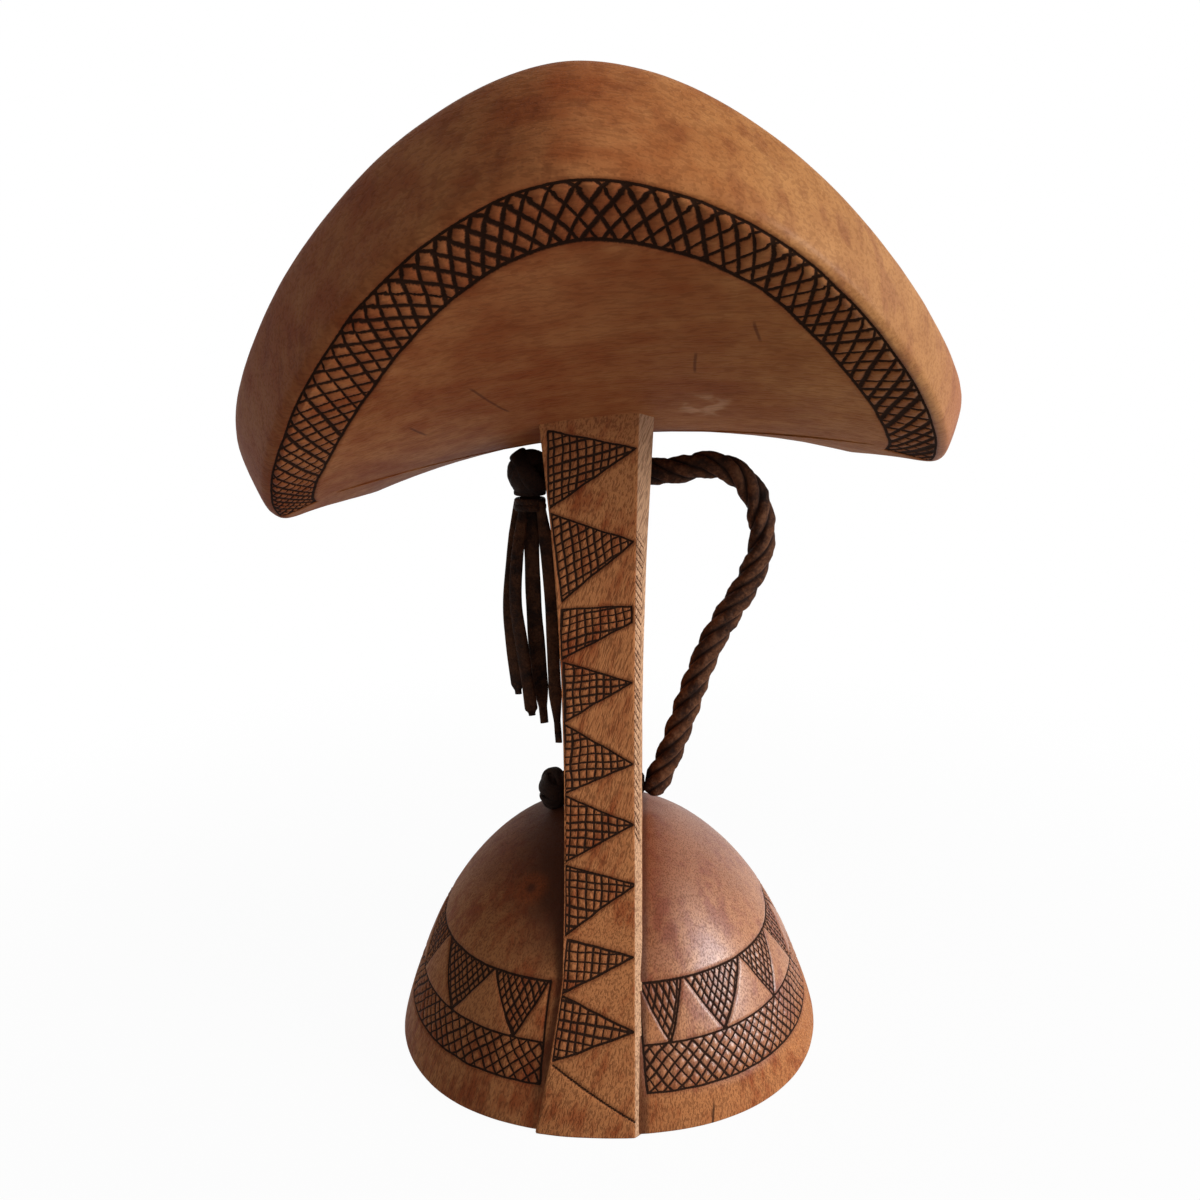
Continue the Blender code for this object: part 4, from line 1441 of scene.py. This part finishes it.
class HEADREST_OT_knots(Operator):
    """Tie the two stopper knots on the post's left face"""

    bl_idname = "headrest.tie_knots"
    bl_label = "Stopper knots"

    def execute(self, context):
        wood = context.scene.headrest_wood
        leather = context.scene.headrest_leather
        # The knots sit in shadow on the post's left, the upper one under the pillow, so their leather is
        # painted nearly all dark as shade
        finish = dark_leather("knot_hide", leather, 0.1, 0.55, 0.1)
        shape = Shape()
        height = leather.upper_hole_height
        radius = leather.upper_knot_radius
        centre = knot_centre(wood, leather, height, radius)
        core = np.array((0.72, 0.8, 0.8)) * radius
        add_ball(shape, centre, core, seed=2, mark=0.6)
        add_wrap(shape, centre, core * 1.06, (0.8, 0.1, 0.62), 0.0, 0.0034, 0.0016)
        add_wrap(shape, centre, core, (-0.45, 0.3, 0.9), 0.5, 0.0032, 0.0015)
        add_wrap(shape, centre, core * 1.03, (-0.75, 0.35, 0.5), -0.1, 0.0030, 0.0014)
        add_wrap(shape, centre, core, (0.3, -0.3, 0.85), -0.5, 0.0032, 0.0014)
        add_ring(shape, centre - np.array((0, 0, 0.0039)), (0.0027, 0.0020), 0.0012, 0.0011)
        inner_end = strap_end(wood, leather, height)[0] - leather.rope_inside
        add_rope_stub(shape, leather, centre, inner_end - leather.seat_gap)
        self.keep("upper_stopper", shape, finish, "upper_knot")
        shape = Shape()
        height = leather.lower_hole_height
        radius = leather.lower_knot_radius
        bore = knot_centre(wood, leather, height, radius)
        centre = bore + np.array((0.0004, 0, -0.0012))
        core = np.array((0.62, 0.78, 0.96)) * radius
        add_ball(shape, centre, core, seed=5, mark=0.5)
        add_wrap(shape, centre, core, (0.25, -0.25, 0.9), 0.3, 0.0036, 0.0012)
        add_wrap(shape, centre, core * 1.02, (0.55, 0.75, -0.2), 0.0, 0.0030, 0.0014)
        add_wrap(shape, centre, core, (0.2, 0.3, -0.9), 0.42, 0.0034, 0.0012)
        add_rope_stub(shape, leather, bore, rope_end(wood, leather, height))
        self.keep("lower_stopper", shape, finish, "lower_knot")
        return {"FINISHED"}

    def keep(self, name, shape, finish, node):
        """Sets a knot in place of its CAD node."""
        knot = add_piece(name, shape.mesh(name), finish)
        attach(knot, "headrest")
        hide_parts(node)


class HEADREST_OT_tassel(Operator):
    """Hang the four thong tails under their binding"""

    bl_idname = "headrest.hang_tassel"
    bl_label = "Tassel"

    def execute(self, context):
        wood = context.scene.headrest_wood
        leather = context.scene.headrest_leather
        knot = knot_centre(wood, leather, leather.upper_hole_height, leather.upper_knot_radius)
        self.make_binding(leather, knot)
        finish = dark_leather("thong_suede", leather, 0.4, 0.55, 0.8)
        for index, (row, across, heights) in enumerate(TAIL_ROUTES):
            self.make_tail(leather, knot, index, row, across, heights, finish)
        return {"FINISHED"}

    def make_binding(self, leather, knot):
        """Two turns of thong round the top of the tails."""
        shape = Shape()
        neck = knot - np.array((0, 0, 0.0062))
        add_ball(shape, neck, np.array((0.0027, 0.0026, 0.0009)), seed=7)
        for drop, reach in ((-0.0005, 0.0026), (0.0006, 0.0027)):
            add_ring(shape, neck - np.array((0, 0, drop)), (reach, 0.92 * reach), 0.0015, 0.0011)
        finish = dark_leather("wrap_hide", leather, 0.4, 0.45, 0.45)
        binding = add_piece("tassel_wrap", shape.mesh("tassel_wrap"), finish)
        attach(binding, "binding")
        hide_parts("tassel_binding")

    def make_tail(self, leather, knot, index, row, across, heights, finish):
        """One flat thong that turns a little as it hangs."""
        y = row * leather.tail_row
        inside = max(0.0, math.hypot(across[0] - knot[0], y) - leather.tail_radius)
        drop = math.sqrt((leather.binding_radius + leather.seat_gap) ** 2 - inside**2)
        route = [(x, y, z) for x, z in zip(across, (knot[2] - drop, *heights))]
        path = smooth_line(route, 100)
        hidden = path[0] + np.linspace((0.0002 * row, 0, 0.0022), (0, 0, 0), 8, endpoint=False)
        whole = np.vstack((hidden, path))
        share = np.linspace(0, 1, len(whole))
        lean = 0.35 * np.sin(share * 5 + index * 1.7)
        outward = np.stack((np.sin(lean), -np.cos(lean), np.zeros(len(whole))), axis=1)
        width, point = TAIL_LOOKS[index]
        end = np.clip((1 - share) / point, 0.45, 1) ** 0.8
        neck = np.clip(0.55 + 2.4 * share, 0, 1)
        widths = width * (0.9 + 0.2 * ripple(whole, 0.009, index)) * end * neck
        thicks = leather.thong_thick * (0.8 + 0.4 * ripple(whole, 0.006, index + 9))
        thicks = thicks * np.clip((1 - share) / 0.03, 0.6, 1)
        rings = sweep(whole, outward, thong_sections(widths, thicks))
        shape = Shape()
        shape.add(rings, start=whole[0], end=whole[-1])
        name = f"thong_tail_{index + 1}"
        tail = add_piece(name, shape.mesh(name), finish)
        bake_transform(tail)
        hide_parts(f"tail_{index + 1}")


def keep_wood(name, mesh, finish):
    """Sets a carved piece in place of the CAD's block."""
    piece = add_piece(name, mesh, finish)
    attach(piece, "headrest")
    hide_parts("carved_body")
    return piece


class HEADREST_OT_base(Operator):
    """Carve the domed base"""

    bl_idname = "headrest.carve_base"
    bl_label = "Base"

    def execute(self, context):
        wood = context.scene.headrest_wood
        mesh, pattern = make_base_mesh(wood)
        carve(mesh, wood, pattern, seed=1)
        finish = carved_wood(
            "base_wood",
            wood,
            UPRIGHT_GRAIN,
            (0, -0.2, 0),
            self.stains_and_painted_light,
            pore_share=0.75,
            cut_width=0.82,
            tone=0.03,
            polish=self.polish,
        )
        keep_wood("carved_base", mesh, finish)
        return {"FINISHED"}

    def polish(self, finish, figure):
        """The dome's right side is rubbed to a gloss."""
        x, _, z = finish.axes()
        return 0.9 * finish.between(x + 16 * (figure - 0.5), 2, 20) * finish.between(z, 4, 12)

    def stains_and_painted_light(self, finish, figure, blotch):
        """The dome's top is handled dark, painted shade lies in the corners beside the blade, and a knot
        shows on the left.
        """
        wood = bpy.context.scene.headrest_wood
        x, y, z = finish.axes()
        soft = 9 * (figure - 0.5) + 5 * (blotch - 0.5)
        crack = (x + 0.06 * soft - 0.1 * z - CRACK_X).absolute()
        crack = (1 - finish.between(crack, 0.12, 0.3)) * (1 - finish.between(z, 2.5, 4.5))
        crack = crack * (1 - finish.between(y, -32, -30))
        top = finish.between(z + 2 * soft, 25, 40)
        left = finish.between(x + soft, -25, -9) * (1 - finish.between(x, -5, -3))
        left = left * finish.between(z + soft, 20, 33)
        right = (1 - finish.between(x + soft, 9, 18)) * finish.between(x, 3, 5)
        right = right * finish.between(z + soft, 14, 30)
        away = finish.distance(KNOT_MARK) + 0.25 * soft
        spread_end = wood.post_foot_flare_height / MM
        foot = wood.post_foot_flare / MM * (1 - finish.between(z, 0, spread_end))
        left_gap = -wood.post_left / MM - foot - x
        right_gap = x - wood.post_right / MM
        # Painted shade in the corners where the dome meets the blade, on its left and its right
        left_corner_shade = 1 - finish.between(left_gap + 0.1 * soft, 0.3, 2.0)
        left_corner_shade = left_corner_shade.least(finish.between(z + soft, 2, 9)) * (1 - finish.between(x, -4, -3))
        right_corner_shade = (1 - finish.between(right_gap + 0.1 * soft, 0.2, 1.5)) * finish.between(x, 3, 4)
        corner_shade = left_corner_shade.most(right_corner_shade)
        return (
            (0.5 * top, wood.red_brown),
            (0.9 * left, wood.stain_and_shade),
            (0.5 * right, wood.red_brown),
            (0.75 * (1 - finish.between(away, 1.6, 4.6)), wood.brown),
            (0.75 * (1 - finish.between(away, 0.3, 1.5)), wood.stain_and_shade),
            (0.8 * crack, wood.burnt),
            # painted shade in the corners beside the blade
            (0.7 * corner_shade, wood.stain_and_shade),
        )


class HEADREST_OT_post(Operator):
    """Carve the blade of the post and bore its strap holes"""

    bl_idname = "headrest.carve_post"
    bl_label = "Post"

    def execute(self, context):
        wood = context.scene.headrest_wood
        leather = context.scene.headrest_leather
        mesh, pattern = make_post_mesh(wood)
        carve(mesh, wood, pattern, seed=5)
        finish = carved_wood(
            "post_wood",
            wood,
            UPRIGHT_GRAIN,
            (0, -0.3, 0),
            self.stains_and_painted_light,
            pore_share=0.78,
            cut_width=0.76,
            tone=0.05,
        )
        post = keep_wood("carved_post", mesh, finish)
        for height in (leather.upper_hole_height, leather.lower_hole_height):
            self.bore(post, height, leather.rope_radius + wood.hole_clearance)
        return {"FINISHED"}

    def stains_and_painted_light(self, finish, figure, blotch):
        """The right face and its chamfers are rubbed pale and painted lighter where they face the lamp, and
        the top under the pillow is painted darker as shade.
        """
        wood = bpy.context.scene.headrest_wood
        z = finish.axes()[2]
        return (
            # rubbed pale, and painted light on the faces towards the lamp
            (0.98 * finish.mark("mark"), wood.rubbed),
            # painted shade at the post's top, under the pillow
            (0.35 * finish.between(z + 8 * figure, 122, 134), wood.red_brown),
        )

    def bore(self, post, height, radius):
        """Cuts a round hole through the post along X."""
        tool = bmesh.new()
        turn = Matrix.Translation((0, 0, height)) @ Matrix.Rotation(math.pi / 2, 4, "Y")
        bmesh.ops.create_cone(
            tool, cap_ends=True, segments=40, radius1=radius, radius2=radius, depth=0.06, matrix=turn
        )
        mesh = bpy.data.meshes.new("borer")
        tool.to_mesh(mesh)
        tool.free()
        borer = bpy.data.objects.new("borer", mesh)
        bpy.context.scene.collection.objects.link(borer)
        cut = post.modifiers.new("bore", "BOOLEAN")
        cut.operation = "DIFFERENCE"
        cut.solver = "EXACT"
        cut.object = borer
        cutting = bpy.context.evaluated_depsgraph_get()
        bored = bpy.data.meshes.new_from_object(post.evaluated_get(cutting))
        post.modifiers.remove(cut)
        post.data = bored
        bpy.data.objects.remove(borer)


class HEADREST_OT_pillow(Operator):
    """Carve the saddle of the pillow"""

    bl_idname = "headrest.carve_pillow"
    bl_label = "Pillow"

    def execute(self, context):
        wood = context.scene.headrest_wood
        mesh, pattern = make_pillow_mesh(wood)
        carve(mesh, wood, pattern, seed=9)
        finish = carved_wood(
            "pillow_wood",
            wood,
            (420, 1900, 1900),
            (0, 0, 0.1),
            self.stains_and_painted_light,
            pore_share=0.35,
            cut_width=1.05,
            polish=self.polish,
            sheen=0.04,
            even=0.09,
        )
        keep_wood("carved_pillow", mesh, finish)
        return {"FINISHED"}

    def polish(self, finish, figure):
        """The rim's right side is rubbed to a gloss."""
        x = finish.axes()[0]
        return 0.2 * finish.between(x + 12 * (figure - 0.5), 15, 50) * (1 - finish.mark("mark"))

    def stains_and_painted_light(self, finish, figure, blotch):
        """The left side is painted darker as shade and the right side golden as light, the underside is
        darker, and old scratches and pale scuffs lie below.
        """
        wood = bpy.context.scene.headrest_wood
        x, y, _ = finish.axes()
        under = finish.mark("mark")
        # Painted shade on the left side, away from the lamp
        left = 1 - finish.between(x + 16 * (figure - 0.5), -48, 0)
        # Painted light on the right side, where the lamp falls
        right = finish.between(x + 12 * (figure - 0.5), -10, 40)
        corner = finish.between(x + 6 * (figure - 0.5), 50, 60)
        away = finish.distance(UNDER_MIDDLE)
        middle = 1 - finish.between(away + 20 * (blotch - 0.5), 14, 44)
        clouds = finish.noise(finish.place((330, 330, 130)), 1.0, 2.0)
        mottle = finish.between(clouds, 0.5, 0.68) * (1 - under)
        scuff = finish.between(x + 8 * (figure - 0.5), 13, 16) * (1 - finish.between(x, 20, 23))
        scuff = scuff * finish.between(y, -40, -35) * (1 - finish.between(y, -30, -26))
        scuff = scuff * finish.between(blotch, 0.45, 0.6)
        shares = [
            # painted light, golden on the right side
            (0.5 * right * (1 - 0.4 * under), wood.golden),
            (0.55 * corner * (1 - under), wood.brown),
            # painted shade, red-brown on the left side
            (0.5 * left * (1 - 0.9 * under), wood.red_brown),
            (0.35 * under * middle, wood.red_brown),
            (0.35 * mottle, wood.red_brown),
            (0.5 * under * scuff, wood.rubbed),
        ]
        for start, end in SCRATCHES:
            along = Vector(end) - Vector(start)
            ahead = along.normalized()
            down = (x - start[0]) * ahead.x + (y - start[1]) * ahead.y
            aside = ((y - start[1]) * ahead.x - (x - start[0]) * ahead.y + 1.2 * (figure - 0.5)).absolute()
            ends = finish.between(down, 0, 1.5) * (1 - finish.between(down, along.length - 1.5, along.length))
            shares.append((0.6 * under * ends * (1 - finish.between(aside, 0.08, 0.36)), wood.stain_and_shade))
        return shares


class HEADREST_PT_pieces(Panel):
    """Lists the pieces of the headrest"""

    bl_idname = "HEADREST_PT_pieces"
    bl_label = "Carved headrest"
    bl_space_type = "VIEW_3D"
    bl_region_type = "UI"
    bl_category = "Headrest"

    def draw(self, context):
        for operator in OPERATORS:
            self.layout.operator(operator.bl_idname)


OPERATORS = (
    HEADREST_OT_stage,
    HEADREST_OT_strap,
    HEADREST_OT_knots,
    HEADREST_OT_tassel,
    HEADREST_OT_base,
    HEADREST_OT_post,
    HEADREST_OT_pillow,
)
GROUPS = (HeadrestWood, HeadrestLeather, HeadrestStage)
CLASSES = (*GROUPS, *OPERATORS, HEADREST_PT_pieces)


def register():
    """Adds the classes, and the groups of properties to the scene."""
    for made in CLASSES:
        bpy.utils.register_class(made)
    bpy.types.Scene.headrest_wood = PointerProperty(type=HeadrestWood)
    bpy.types.Scene.headrest_leather = PointerProperty(type=HeadrestLeather)
    bpy.types.Scene.headrest_stage = PointerProperty(type=HeadrestStage)


def unregister():
    """Takes the groups and the classes away again."""
    del bpy.types.Scene.headrest_stage
    del bpy.types.Scene.headrest_leather
    del bpy.types.Scene.headrest_wood
    for made in reversed(CLASSES):
        bpy.utils.unregister_class(made)


def main():
    """Makes every piece."""
    register()
    bpy.ops.headrest.set_stage()
    bpy.ops.headrest.make_strap()
    bpy.ops.headrest.tie_knots()
    bpy.ops.headrest.hang_tassel()
    bpy.ops.headrest.carve_base()
    bpy.ops.headrest.carve_post()
    bpy.ops.headrest.carve_pillow()


if __name__ == "__main__":
    main()
